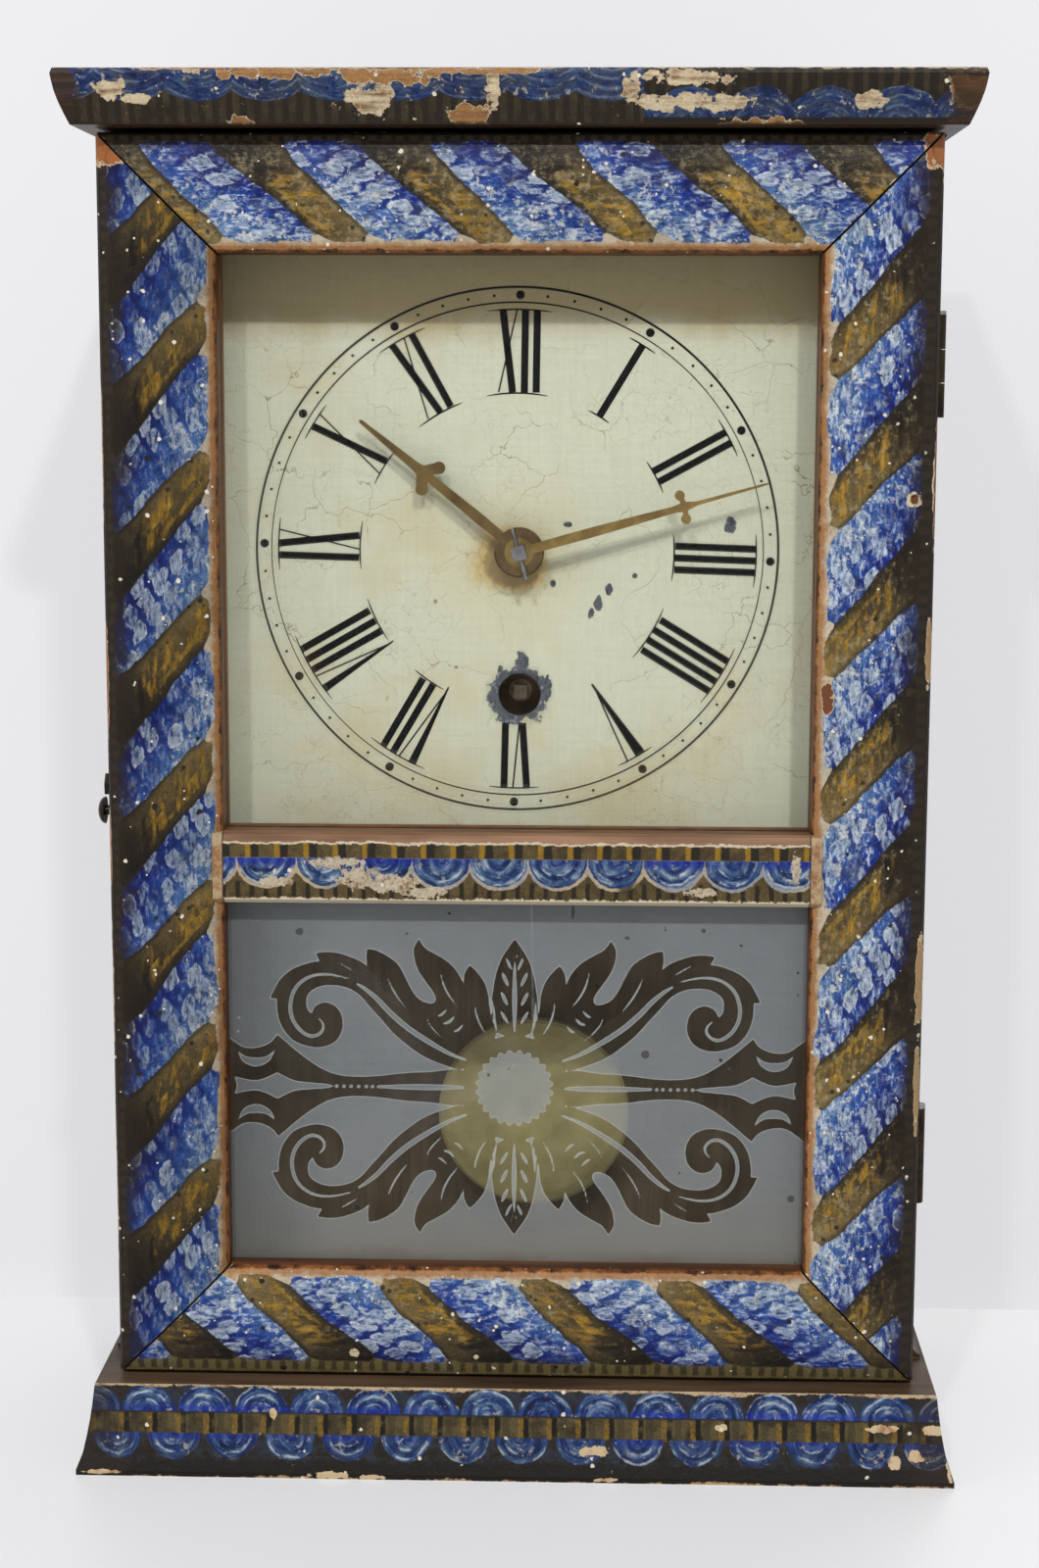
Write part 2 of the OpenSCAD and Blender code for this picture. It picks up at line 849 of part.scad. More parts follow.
module dial_nails() {
  color("#77736a")
    nail_shapes();
}

// Two wooden rails on the back board that carry the movement
module movement_rails() {
  color("#8a6a45")
    difference() {
      for (sx = [-1, 1])
        at_arbor()
          box([min(sx * movement_rail_x, sx * (movement_rail_x + rail_w)), plate_back_y, -plate_down - 6],
              [max(sx * movement_rail_x, sx * (movement_rail_x + rail_w)), board_y, plate_up + 6]);
      movement_screw_shapes();
    }
}

module movement_screw_shapes() {
  for (spot = ear_spots)
    at_arbor(spot)
      screw(back_plate_y, screw_l, screw_r, 2 * screw_r);
}

module movement_screws() {
  color("#77777a")
    movement_screw_shapes();
}

// Outline of a plate with chamfered corners, sight holes and pivot holes
module plate_outline(holes) {
  c = 4;
  w = plate_w / 2;
  difference() {
    polygon([
      [-w + c, plate_up], [w - c, plate_up], [w, plate_up - c], [w, -plate_down + c],
      [w - c, -plate_down], [-w + c, -plate_down], [-w, -plate_down + c], [-w, plate_up - c]
    ]);
    for (h = holes)
      translate([h[0], h[1]])
        circle(h[2]);
    for (sx = [-1, 1])
      translate([sx * (w - 12), -8])
        circle(7);
    translate([w - 13, 22])
      circle(8);
    translate([0, -plate_down + 12])
      circle(6);
    for (p = pillar_spots)
      translate(p)
        circle(pillar_r * 0.6);
  }
}

module front_plate() {
  color("#b08d4a")
    at_arbor()
      along_y(front_plate_y, inside_y)
        plate_outline([
          [0, 0, arbor_r + pivot_run],
          [wind_pos[0], wind_pos[1], wind_r + pivot_run],
          [third_pos[0], third_pos[1], pivot_r + pivot_run],
          [escape_pos[0], escape_pos[1], pivot_r + pivot_run],
          [verge_pos[0], verge_pos[1], pivot_r + pivot_run],
          [minute_pos[0], minute_pos[1], fine_arbor_r + pivot_run]
        ]);
}

module back_plate() {
  color("#b08d4a")
    difference() {
      at_arbor()
        along_y(back_plate_y, plate_back_y) {
          plate_outline([
            [0, 0, fine_arbor_r + pivot_run],
            [wind_pos[0], wind_pos[1], arbor_thin_r + pivot_run],
            [third_pos[0], third_pos[1], pivot_r + pivot_run],
            [escape_pos[0], escape_pos[1], pivot_r + pivot_run],
            [verge_pos[0], verge_pos[1], fine_arbor_r + pivot_run],
            [-8, cock_screw_z, 1],
            [8, cock_screw_z, 1]
          ]);
          for (spot = ear_spots)
            translate([spot[0] > 0 ? plate_w / 2 - 1 : -ear_x, spot[1] - ear_h / 2])
              square([ear_x - plate_w / 2 + 1, ear_h]);
        }
      movement_screw_shapes();
    }
}

// Turned pillars with a collar at each plate and a drilled stub in front
module pillars() {
  stub = pillar_r * 0.6;
  collar = pillar_r + 0.9;
  color("#a98646")
    for (spot = pillar_spots)
      at_arbor(spot)
        difference() {
          turned_y([
            [0, front_plate_y - 3.2], [stub - 0.3, front_plate_y - 3.2], [stub, front_plate_y - 2.8],
            [stub, inside_y], [collar, inside_y], [collar, inside_y + 1.4], [pillar_r, inside_y + 2.6],
            [pillar_r, back_plate_y - 2.6], [collar, back_plate_y - 1.4], [collar, back_plate_y],
            [stub, back_plate_y], [stub, plate_back_y + 0.4], [0, plate_back_y + 0.4]
          ]);
          pillar_pin_shape();
        }
}

// Taper pin through a pillar's stub, tight on the front plate
module pillar_pin_shape() {
  r = 0.45;
  translate([0, front_plate_y - r - 0.15, -4])
    cylinder(r1 = r, r2 = r + 0.12, h = 8);
}

module pillar_pins() {
  color("#8f8f88")
    for (spot = pillar_spots)
      at_arbor(spot)
        pillar_pin_shape();
}

// Cock on the back plate: a foot, a shelf and the split stud of the suspension
module suspension_cock() {
  stud_top = verge_rise + 6.5;
  slit = 0.45;
  color("#b08d4a")
    at_arbor()
      difference() {
        union() {
          box([-12, plate_back_y, cock_low], [12, plate_back_y + 1.4, plate_up]);
          box([-4, plate_back_y + 1.4, stud_top - 0.6], [4, rod_y + 3.4, stud_top + 1]);
          box([-2, rod_y - 2.6, verge_rise + 2.2], [2, rod_y + 2.6, stud_top]);
          for (sx = [-8, 8])
            translate([sx, 0, cock_screw_z]) {
              bar(1, back_plate_y - 0.3, plate_back_y + 0.1);
              bar(1.9, plate_back_y + 1.4, plate_back_y + 2.4);
            }
        }
        box([-slit, rod_y - 3, verge_rise + 1], [slit, rod_y + 3, stud_top - 1]);
      }
}

// Mainspring: a spiral band whose outer end runs out to the lower right pillar
function spring_end() = [pillar_x, -pillar_low] - wind_pos;
function spring_radius(s) = let (
  reach = norm(spring_end()) - pillar_r - spring_t,
  last = max(0, (s - 1 + 0.5 / spring_turns) * 2 * spring_turns)
) 4.6 + (spring_r - 4.6) * s + (reach - spring_r) * last ^ 3;
function spring_point(s, offset) = let (
  finish = atan2(spring_end()[1], spring_end()[0]),
  turn = finish - 360 * spring_turns * (1 - s),
  r = spring_radius(s) + offset
) [r * cos(turn), r * sin(turn)];

module mainspring() {
  steps = 20 * spring_turns;
  color("#5b5f66")
    at_arbor(wind_pos)
      along_y(spring_y, spring_y + spring_w)
        polygon(concat(
          [for (i = [0:steps]) spring_point(i / steps, 0)],
          [for (i = [steps:-1:0]) spring_point(i / steps, spring_t)]
        ));
}

// Angle gained by an epicycloid flank at a height above the pitch circle
function flank_turn(r, roll, height) = let (
  far = r + roll,
  swing = acos((far ^ 2 + roll ^ 2 - (r + height) ^ 2) / (2 * far * roll)),
  t = swing * roll / r
) atan2(far * sin(t) - roll * sin(t + swing), far * cos(t) - roll * cos(t + swing));

// Wheel outline: radial flanks to the pitch circle and epicycloid tips above it,
// n teeth of module m, for a pinion of pitch radius pinion_r, one tooth at angle turn
function wheel_points(n, m, pinion_r, turn) = let (
  r = n * m / 2,
  half = 0.45 * 180 / n,
  tip = r + 1.05 * m,
  root = r - 1.15 * m,
  lean = abs(flank_turn(r, pinion_r / 2, 1.05 * m))
) [for (i = [0:n - 1]) for (p = [
    [root, -half], [r, -half], [tip, -half + lean], [tip, half - lean], [r, half], [root, half]
  ]) [p[0] * cos(turn + 360 * i / n + p[1]), p[0] * sin(turn + 360 * i / n + p[1])]];

// Pinion outline: radial leaves with small rounded tips, a gap at angle turn
function pinion_points(n, m, turn) = let (
  r = n * m / 2,
  half = 0.36 * 180 / n,
  tip = r + 0.55 * m,
  root = r - 1.35 * m
) [for (i = [0:n - 1]) for (p = [
    [root, -half], [r, -half], [tip, -half * 0.4], [tip, half * 0.4], [r, half], [root, half]
  ]) [p[0] * cos(turn + 360 * (i + 0.5) / n + p[1]), p[0] * sin(turn + 360 * (i + 0.5) / n + p[1])]];

// Four crossings cut out of a wheel between its hub and its rim
module crossings(hub_r, rim_r, spoke, turn) {
  rotate(turn)
    for (a = [0:90:270])
      rotate(a)
        intersection() {
          difference() {
            circle(rim_r);
            circle(hub_r);
          }
          translate([spoke / 2, spoke / 2])
            square(rim_r);
        }
}

// Direction from one place to another
function towards(from, to) = atan2(to[1] - from[1], to[0] - from[0]);

// The hand arbor: pivot, pinion, shoulder, cannon teeth and the square for the minute hand
module center_arbor() {
  cannon_y = minute_wheel_y - 0.6;
  square_y = minute_hand_y - 3.4;
  color("#8a8f96")
    at_arbor()
      difference() {
        union() {
          bar(fine_arbor_r, back_plate_y - 0.4, plate_back_y + 0.6);
          bar(arbor_thin_r, inside_y + 0.3, back_plate_y - 0.4);
          bar(arbor_r, minute_hand_y + hand_t, inside_y + 0.3);
          along_y(great_wheel_y - 0.8, great_wheel_y + great_t + 0.8)
            polygon(pinion_points(center_pn, great_m, towards([0, 0], wind_pos)));
          along_y(cannon_y, front_plate_y - 0.4)
            polygon(pinion_points(cannon_n, 2 * cannon_r / cannon_n, towards([0, 0], minute_pos)));
          rotate([0, minute_turn, 0])
            box([-arbor_sq / 2, square_y, -arbor_sq / 2], [arbor_sq / 2, minute_hand_y + hand_t + 0.2, arbor_sq / 2]);
        }
        hand_pin_shape();
      }
}

// The taper pin lies across the minute hand, in front of its eye
module hand_pin_shape() {
  r = 0.45;
  rotate([0, minute_turn - 90, 0])
    translate([0, minute_hand_y - 0.62, -6])
      cylinder(r1 = r + 0.12, r2 = r - 0.1, h = 11.5);
}

module hand_pin() {
  color("#9a9a96")
    at_arbor()
      hand_pin_shape();
}

module center_wheel() {
  color("#b08d4a")
    at_arbor()
      along_y(center_wheel_y, center_wheel_y + wheel_t)
        difference() {
          polygon(wheel_points(center_n, center_m, third_pr, towards([0, 0], third_pos)));
          circle(arbor_thin_r);
          crossings(5, center_r - 3.2, 2.6, 20);
        }
}

// A round lobe on a short neck, standing off one edge of a hand
module hand_lobe(at, side, lean, reach, r, neck) {
  translate([at, 0])
    rotate(side * (90 + lean)) {
      translate([0, -neck / 2])
        square([reach - r, neck]);
      translate([reach - r, 0])
        circle(r);
    }
}

// Blade of a hand along +X: half widths at the eye, the swell, the waist, beyond it and at the point
module hand_blade(length, waist, eye_w, swell_w, waist_w, blade_w, tip_w) {
  up = [
    [0, eye_w], [0.2 * waist, 0.5 * (eye_w + swell_w)], [0.4 * waist, swell_w],
    [0.7 * waist, 0.55 * swell_w + 0.45 * waist_w], [0.93 * waist, waist_w],
    [waist, waist_w * 1.5], [waist * 1.07, blade_w], [length - tip_w, tip_w], [length, 0.4 * tip_w]
  ];
  polygon(concat(up, [for (i = [len(up) - 1:-1:0]) [up[i][0], -up[i][1]]]));
}

module minute_hand() {
  waist = 37.6;
  color("#8d7a4c")
    at_arbor()
      rotate([0, minute_turn - 90, 0])
        along_y(minute_hand_y, minute_hand_y + hand_t)
          difference() {
            union() {
              circle(3.2);
              hand_blade(minute_l, waist, 1.05, 1.1, 0.72, 0.46, 0.24);
              for (side = [-1, 1])
                hand_lobe(waist, side, 10, 3.8, 1.1, 1.2);
            }
            square(arbor_sq, center = true);
          }
}

// Brass collet behind the minute hand
module hand_collet() {
  y0 = minute_hand_y + hand_t;
  color("#6f5f3e")
    at_arbor()
      difference() {
        turned_y([[arbor_r, y0], [5.1, y0], [5.5, y0 + 0.3], [5.5, y0 + 0.9], [3.4, y0 + 1.5], [arbor_r, y0 + 1.5]]);
      }
}

module hour_hand() {
  waist = 27.6;
  color("#7d6c45")
    at_arbor()
      rotate([0, hour_turn - 90, 0])
        along_y(hour_hand_y, hour_hand_y + hand_t)
          difference() {
            union() {
              circle(5.3);
              hand_blade(hour_l, waist, 1, 1.2, 0.95, 1.05, 0.42);
              for (side = [-1, 1])
                hand_lobe(waist, side, 38, 5.2, 1.4, 2.5);
            }
            circle(hour_pipe_r);
          }
}

// Hour wheel with the pipe that runs through the dial
module hour_wheel() {
  color("#b08d4a")
    at_arbor()
      difference() {
        union() {
          along_y(hour_wheel_y, hour_wheel_y + wheel_t)
            difference() {
              polygon(wheel_points(hour_n, 2 * hour_r / hour_n, minute_pr, towards([0, 0], minute_pos)));
              crossings(hour_hub_r, hour_r - 2.4, 2.2, 45);
            }
          bar(hour_pipe_r, hour_hand_y - 0.4, hour_wheel_y + wheel_t + 0.4);
        }
        bar(arbor_r + pivot_run, hour_hand_y - 2, hour_wheel_y + wheel_t + 2);
      }
}

// Minute wheel and its pinion on one stud, which turns in the front plate
module minute_wheel() {
  color("#b08d4a")
    at_arbor(minute_pos) {
      along_y(minute_wheel_y, minute_wheel_y + wheel_t)
        difference() {
          polygon(wheel_points(minute_n, 2 * minute_r / minute_n, cannon_r, 180));
          crossings(3.6, minute_r - 2.4, 2.2, 45);
        }
      along_y(hour_wheel_y - 0.6, minute_wheel_y)
        polygon(pinion_points(minute_pn, 2 * minute_pr / minute_pn, 180));
      bar(fine_arbor_r, minute_wheel_y + wheel_t, inside_y + 0.6);
    }
}

module great_wheel() {
  color("#b08d4a")
    at_arbor(wind_pos) {
      along_y(great_wheel_y, great_wheel_y + great_t)
        difference() {
          polygon(wheel_points(great_n, great_m, center_pr, 90));
          circle(wind_r + pivot_run);
          crossings(7, great_r - 4, 6.5, 0);
          translate(click_pos)
            circle(1);
        }
      translate([0, 0, spring_stud_z])
        bar(0.9, ratchet_y, great_wheel_y);
    }
}

// Click: a pawl on the great wheel, resting just clear of the ratchet's tips
click_pos = [15.5, 0];
click_tip = (ratchet_r + 1.05) * [cos(40), sin(40)];
click_dir = (click_tip - click_pos) / norm(click_tip - click_pos);
click_out = [click_dir[1], -click_dir[0]];
spring_stud_z = 16.5;

module click() {
  color("#b08d4a")
    at_arbor(wind_pos) {
      along_y(ratchet_y, ratchet_y + ratchet_t) {
        translate(click_pos)
          circle(2.1);
        polygon([
          click_pos + 2 * click_out, click_tip + 0.7 * click_out,
          click_tip - 0.7 * click_out, click_pos - 2 * click_out
        ]);
      }
      translate([click_pos[0], 0, click_pos[1]])
        bar(1 - pivot_run, ratchet_y + ratchet_t, great_wheel_y + great_t);
    }
}

// Leaf spring from its stud to the back of the click
module click_spring() {
  middle = (click_pos + click_tip) / 2;
  push = middle + (click_out[1] > 0 ? 1 : -1) * click_out * 2.3;
  stud = [0, spring_stud_z];
  along = (push - stud) / norm(push - stud);
  side = [-along[1], along[0]];
  root = stud + 1.1 * along;
  y0 = ratchet_y + 0.2;
  y1 = ratchet_y + ratchet_t - 0.2;
  color("#5b5f66")
    at_arbor(wind_pos) {
      along_y(y0, y1)
        translate(stud)
          difference() {
            circle(1.5);
            circle(0.9);
          }
      along_y(y0, y1)
        polygon([root + 0.2 * side, push + 0.2 * side, push - 0.2 * side, root - 0.2 * side]);
    }
}

module winding_arbor() {
  color("#8a8f96")
    at_arbor(wind_pos) {
      box([-wind_sq / 2, wind_end_y, -wind_sq / 2], [wind_sq / 2, front_plate_y + 0.2, wind_sq / 2]);
      bar(wind_r, front_plate_y - 0.2, inside_y + 0.6);
      bar(wind_r + 0.9, inside_y + 0.6, ratchet_y - 0.3);
      bar(wind_r, ratchet_y - 0.3, great_wheel_y + great_t + 0.4);
      bar(arbor_thin_r, great_wheel_y + great_t + 0.4, plate_back_y + 0.5);
    }
}

// Ratchet wheel, squared onto the winding arbor in front of the great wheel
module ratchet_wheel() {
  deep = 1.5;
  color("#a98646")
    at_arbor(wind_pos)
      along_y(ratchet_y, ratchet_y + ratchet_t)
        difference() {
          polygon([for (i = [0:ratchet_n - 1]) for (p = [[ratchet_r, 0], [ratchet_r - deep, 2]])
            [p[0] * cos(360 * i / ratchet_n + p[1]), p[0] * sin(360 * i / ratchet_n + p[1])]]);
          circle(wind_r);
        }
}

module third_arbor() {
  color("#8a8f96")
    at_arbor(third_pos) {
      bar(pivot_r, front_plate_y - 0.3, inside_y + 0.4);
      bar(fine_arbor_r, inside_y + 0.4, back_plate_y - 0.4);
      bar(pivot_r, back_plate_y - 0.4, plate_back_y + 0.3);
      along_y(center_wheel_y - 0.6, center_wheel_y + wheel_t + 0.8)
        polygon(pinion_points(small_pn, center_m, towards(third_pos, [0, 0])));
    }
}

module third_wheel() {
  color("#b08d4a")
    at_arbor(third_pos)
      along_y(third_wheel_y, third_wheel_y + wheel_t)
        difference() {
          polygon(wheel_points(third_n, third_m, escape_pr, towards(third_pos, escape_pos)));
          circle(fine_arbor_r);
          crossings(4, third_r - 3, 2.4, 10);
        }
}

module escape_arbor() {
  color("#8a8f96")
    at_arbor(escape_pos) {
      bar(pivot_r, front_plate_y - 0.3, inside_y + 0.4);
      bar(fine_arbor_r, inside_y + 0.4, back_plate_y - 0.4);
      bar(pivot_r, back_plate_y - 0.4, plate_back_y + 0.3);
      along_y(third_wheel_y - 0.8, third_wheel_y + wheel_t + 0.8)
        polygon(pinion_points(small_pn, third_m, towards(escape_pos, third_pos)));
    }
}

// Escape wheel: slender teeth that lean forward, with radial fronts
module escape_wheel() {
  deep = 2.2;
  step = 360 / escape_n;
  color("#b08d4a")
    at_arbor(escape_pos)
      along_y(escape_wheel_y, escape_wheel_y + wheel_t)
        difference() {
          polygon([for (i = [0:escape_n - 1]) for (p = [
              [escape_r - deep, 0], [escape_r, 0.28 * step], [escape_r, 0.36 * step], [escape_r - deep, 0.55 * step]
            ]) [p[0] * cos(step * i + p[1]), p[0] * sin(step * i + p[1])]]);
          circle(fine_arbor_r);
          crossings(2.6, escape_r - deep - 1.4, 1.6, 0);
        }
}

// Verge: a bent steel strip on its arbor, its two pallets just outside the wheel
module verge() {
  span = 34;
  out = escape_r + 1.1;
  drop = verge_rise - escape_rise;
  tip = [out * sin(span), out * cos(span) - drop];
  shoulder = tip + [1.2, 3.4];
  t = 0.5;
  y0 = escape_wheel_y - 0.8;
  arm = [
    [0.9, 1.2], shoulder + [t, 0.5], tip + [t, 0], tip + [-t, 0.3], shoulder + [-t, -0.4], [0.9, 0.2 - t]
  ];
  color("#7c8188")
    at_arbor(verge_pos)
      rotate([0, -pend_rest, 0])
        along_y(y0, escape_wheel_y + wheel_t + 0.8)
          difference() {
            polygon(concat(
              arm, [[0.9, -1.6], [-0.9, -1.6]],
              [for (i = [len(arm) - 1:-1:0]) [-arm[i][0], arm[i][1]]]
            ));
            circle(fine_arbor_r);
          }
}

// Verge arbor with the crutch behind the back plate and its loop round the rod
module crutch() {
  wire = 0.6;
  fork_z = -24;
  slot = rod_r + 0.25;
  hub_y = plate_back_y + 0.6;
  color("#8a8f96")
    at_arbor(verge_pos)
      rotate([0, -pend_rest, 0]) {
        bar(pivot_r, front_plate_y - 0.3, inside_y + 0.4);
        bar(fine_arbor_r, inside_y + 0.4, hub_y + 2);
        bar(crutch_hub_r, hub_y, hub_y + 2);
        translate([0, hub_y + 1, fork_z])
          cylinder(r = wire, h = -fork_z);
        difference() {
          box([-slot - 0.9, hub_y + 0.4, fork_z - 0.6], [slot + 0.9, rod_y + slot + 2, fork_z + 0.6]);
          box([-slot, rod_y - slot - 1, fork_z - 1], [slot, rod_y + slot + 1, fork_z + 1]);
        }
      }
}

// Children hung from the suspension point, at the angle where the pendulum is caught
module on_pendulum() {
  at_arbor(verge_pos)
    rotate([0, -pend_rest, 0])
      translate([0, rod_y, 0])
        children();
}

module suspension_spring() {
  color("#9a9a96")
    on_pendulum()
      box([-0.08, -2.2, -5.2], [0.08, 2.2, 4.6]);
}

// Rod with a flattened head under the spring and a threaded foot for the rating nut
module pendulum_rod() {
  foot = pend_l + bob_d / 2 + rod_foot;
  color("#8c7a48")
    on_pendulum() {
      translate([0, 0, -foot])
        cylinder(r = rod_r, h = foot - rod_foot);
      difference() {
        box([-0.6, -2.2, -9], [0.6, 2.2, -3]);
        box([-0.08, -2.2, -5.2], [0.08, 2.2, -2]);
      }
    }
}

// Lens-shaped bob, drilled from edge to edge for the rod
module bob() {
  edge = 1.2;
  r = bob_d / 2;
  lens = [for (a = [0:15:90]) [r * sin(a), edge + (bob_t / 2 - edge) * cos(a) ^ 1.2]];
  color("#b3a15a")
    on_pendulum()
      translate([0, 0, -pend_l])
        difference() {
          turned_y(concat(lens, [for (i = [len(lens) - 1:-1:0]) [lens[i][0], -lens[i][1]]]));
          translate([0, 0, -r - 1])
            cylinder(r = rod_r, h = 2 * r + 2);
        }
}

module rating_nut() {
  color("#a98646")
    on_pendulum()
      translate([0, 0, -pend_l - bob_d / 2 - 3.2])
        difference() {
          cylinder(r = 3, h = 3);
          translate([0, 0, -1])
            cylinder(r = rod_r, h = 5);
          for (a = [0:30:330])
            rotate(a)
              translate([3.1, 0, -1])
                cylinder(r = 0.4, h = 5, $fn = 16);
        }
}

base_front();
base_left();
base_right();
bottom_board();
left_side();
right_side();
top_board();
back_board();
cornice_front();
cornice_left();
cornice_right();
glue_blocks();
hinge_case_leaves();
hinge_pins();
latch_screw();
door_top_rail();
door_bottom_rail();
door_left_stile();
door_right_stile();
door_cross_rail();
dial_glass();
tablet_glass();
glass_strips();
hinge_door_leaves();
latch_pin();
latch_hook();
dial_rails();
dial();
dial_nails();
movement_rails();
movement_screws();
front_plate();
back_plate();
pillars();
pillar_pins();
suspension_cock();
mainspring();
center_arbor();
center_wheel();
minute_hand();
hand_collet();
hand_pin();
hour_wheel();
hour_hand();
minute_wheel();
great_wheel();
click_spring();
click();
winding_arbor();
ratchet_wheel();
third_arbor();
third_wheel();
escape_arbor();
escape_wheel();
verge();
crutch();
suspension_spring();
pendulum_rod();
bob();
rating_nut();
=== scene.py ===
# %% [markdown]
# # A cottage clock in a painted case
# The packed CAD model is the frame: every piece of wood, brass and steel comes from it at its real
# size, and stays where it is. This lesson gives each piece its finish, and adds what is only paint:
# the printed dial, and the etched ornament on the lower pane.

# %% Load the frame
import json
import math

import bpy
import numpy as np
from mathutils import Matrix, Vector

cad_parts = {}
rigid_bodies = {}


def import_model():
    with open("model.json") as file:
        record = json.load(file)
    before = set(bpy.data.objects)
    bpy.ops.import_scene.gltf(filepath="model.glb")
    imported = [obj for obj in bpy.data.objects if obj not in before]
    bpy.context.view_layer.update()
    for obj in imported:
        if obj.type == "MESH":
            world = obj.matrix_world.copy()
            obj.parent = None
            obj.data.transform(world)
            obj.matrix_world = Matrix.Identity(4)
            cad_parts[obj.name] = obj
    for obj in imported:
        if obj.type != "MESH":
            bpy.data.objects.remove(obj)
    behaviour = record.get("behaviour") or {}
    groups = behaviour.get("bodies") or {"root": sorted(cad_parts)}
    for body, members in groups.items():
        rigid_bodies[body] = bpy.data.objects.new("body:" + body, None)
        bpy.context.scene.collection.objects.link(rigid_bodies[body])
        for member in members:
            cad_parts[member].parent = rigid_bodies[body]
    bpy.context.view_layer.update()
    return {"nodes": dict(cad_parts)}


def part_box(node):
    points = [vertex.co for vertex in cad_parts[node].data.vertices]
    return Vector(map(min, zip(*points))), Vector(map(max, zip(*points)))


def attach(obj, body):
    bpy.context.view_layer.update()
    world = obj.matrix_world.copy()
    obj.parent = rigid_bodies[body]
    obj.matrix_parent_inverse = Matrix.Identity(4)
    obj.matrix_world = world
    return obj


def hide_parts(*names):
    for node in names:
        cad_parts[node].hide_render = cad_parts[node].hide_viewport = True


for left_over in list(bpy.data.objects):
    bpy.data.objects.remove(left_over)
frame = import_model()
nodes = frame["nodes"]

# %% [markdown]
# ## Measures
# A pattern is laid out in millimetres on the real object, so every shader first turns Object
# coordinates, which are metres, into millimetres. The few places that the patterns hang on could be
# typed, but a typed number stays behind when a rail is made wider. They are read from the frame.

# %% Places read from the frame
MM = 1000.0


def corners_mm(node):
    """Lowest and highest corner of a CAD piece, in millimetres."""
    low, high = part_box(node)
    return np.array(low) * MM, np.array(high) * MM


door_low = corners_mm("door_bottom_rail")[0]
door_high = corners_mm("door_top_rail")[1]
cross_high, base_high = corners_mm("door_cross_rail")[1], corners_mm("base_front")[1]
cornice_low = corners_mm("cornice_front")[0]
half_door = door_high[0]
frame_w = corners_mm("door_bottom_rail")[1][2] - door_low[2]
left_edge, right_edge, low_edge, high_edge = -half_door, half_door, door_low[2], door_high[2]
dial_front = corners_mm("dial")[0][1]
hub, wind = (np.array([0.0, np.mean(corners_mm(arbor), 0)[2]]) for arbor in ("center_arbor", "winding_arbor"))
print("door", door_low.round(1), door_high.round(1), "frame width", round(frame_w, 1))
print("hub", hub.round(1), "winding square", wind.round(1), "dial plane", round(dial_front, 2))

# %% [markdown]
# ## Shader sums in Python
# A painted pattern is arithmetic: distances, remainders and soft steps. Wired by hand, one stripe
# would fill a screen with nodes. The small class below wraps a socket, so that `1 - mask` or
# `(x + z) / 31` is written as Python and adds its Math nodes by itself.

# %% A socket that does arithmetic


class Wire:
    """A number socket. Each operator adds one Math node and returns its output."""

    def __init__(self, finish, socket):
        self.finish, self.socket = finish, socket

    def sum(self, operation, *others):
        return self.finish.node("ShaderNodeMath", {"operation": operation}, [self, *others])

    def turned(self, operation, other):
        return self.finish.node("ShaderNodeMath", {"operation": operation}, [other, self])

    def __add__(self, other):
        return self.sum("ADD", other)

    def __sub__(self, other):
        return self.sum("SUBTRACT", other)

    def __rsub__(self, other):
        return self.turned("SUBTRACT", other)

    def __mul__(self, other):
        return self.sum("MULTIPLY", other)

    def __truediv__(self, other):
        return self.sum("DIVIDE", other)

    def __rtruediv__(self, other):
        return self.turned("DIVIDE", other)

    def __neg__(self):
        return self * -1.0

    def __abs__(self):
        return self.sum("ABSOLUTE")

    def __pow__(self, other):
        return self.sum("POWER", other)

    __radd__ = __add__
    __rmul__ = __mul__

    def low(self, other):
        return self.sum("MINIMUM", other)

    def high(self, other):
        return self.sum("MAXIMUM", other)

    def floor(self):
        return self.sum("FLOOR")

    def over(self, period):
        """Remainder, centred: from -period/2 to period/2 with 0 at each multiple of the period."""
        return ((self / period + 0.5).sum("FRACT") - 0.5) * period

    def wave(self):
        return self.sum("SINE")

    def rise(self, start, end):
        """Soft step: 0 at start, 1 at end, either way round."""
        values = {"Value": self, "From Min": start, "From Max": end}
        if not isinstance(start, Wire) and not isinstance(end, Wire) and start > end:
            values = {"Value": -self, "From Min": -start, "From Max": -end}
        return self.finish.node("ShaderNodeMapRange", {"interpolation_type": "SMOOTHSTEP"}, values)


print("a socket knows", sum(callable(part) for part in vars(Wire).values()), "operations")

# %% [markdown]
# ## A finish as layers
# Old paint is a pile of thin coats, and it is copied here as one: each coat is a colour and a mask,
# laid over what is there. The class keeps the topmost colour, so a finish reads from the ground up.
# Node groups would do the same by hand, but a group can't be read in the script.

# %% A finish, built layer on layer
NOISE_GAIN = 3.0


def colour(red, green, blue):
    """A screen colour, 0 to 255, as the linear colour that the shader mixes."""
    part = np.array([red, green, blue]) / 255
    return (*np.where(part > 0.04045, ((part + 0.055) / 1.055) ** 2.4, part / 12.92).tolist(), 1.0)


def ready(value):
    """A row of three whole numbers is a screen colour, and becomes linear. All else stays."""
    is_screen = isinstance(value, tuple) and len(value) == 3 and all(isinstance(v, int) for v in value)
    return colour(*value) if is_screen else value


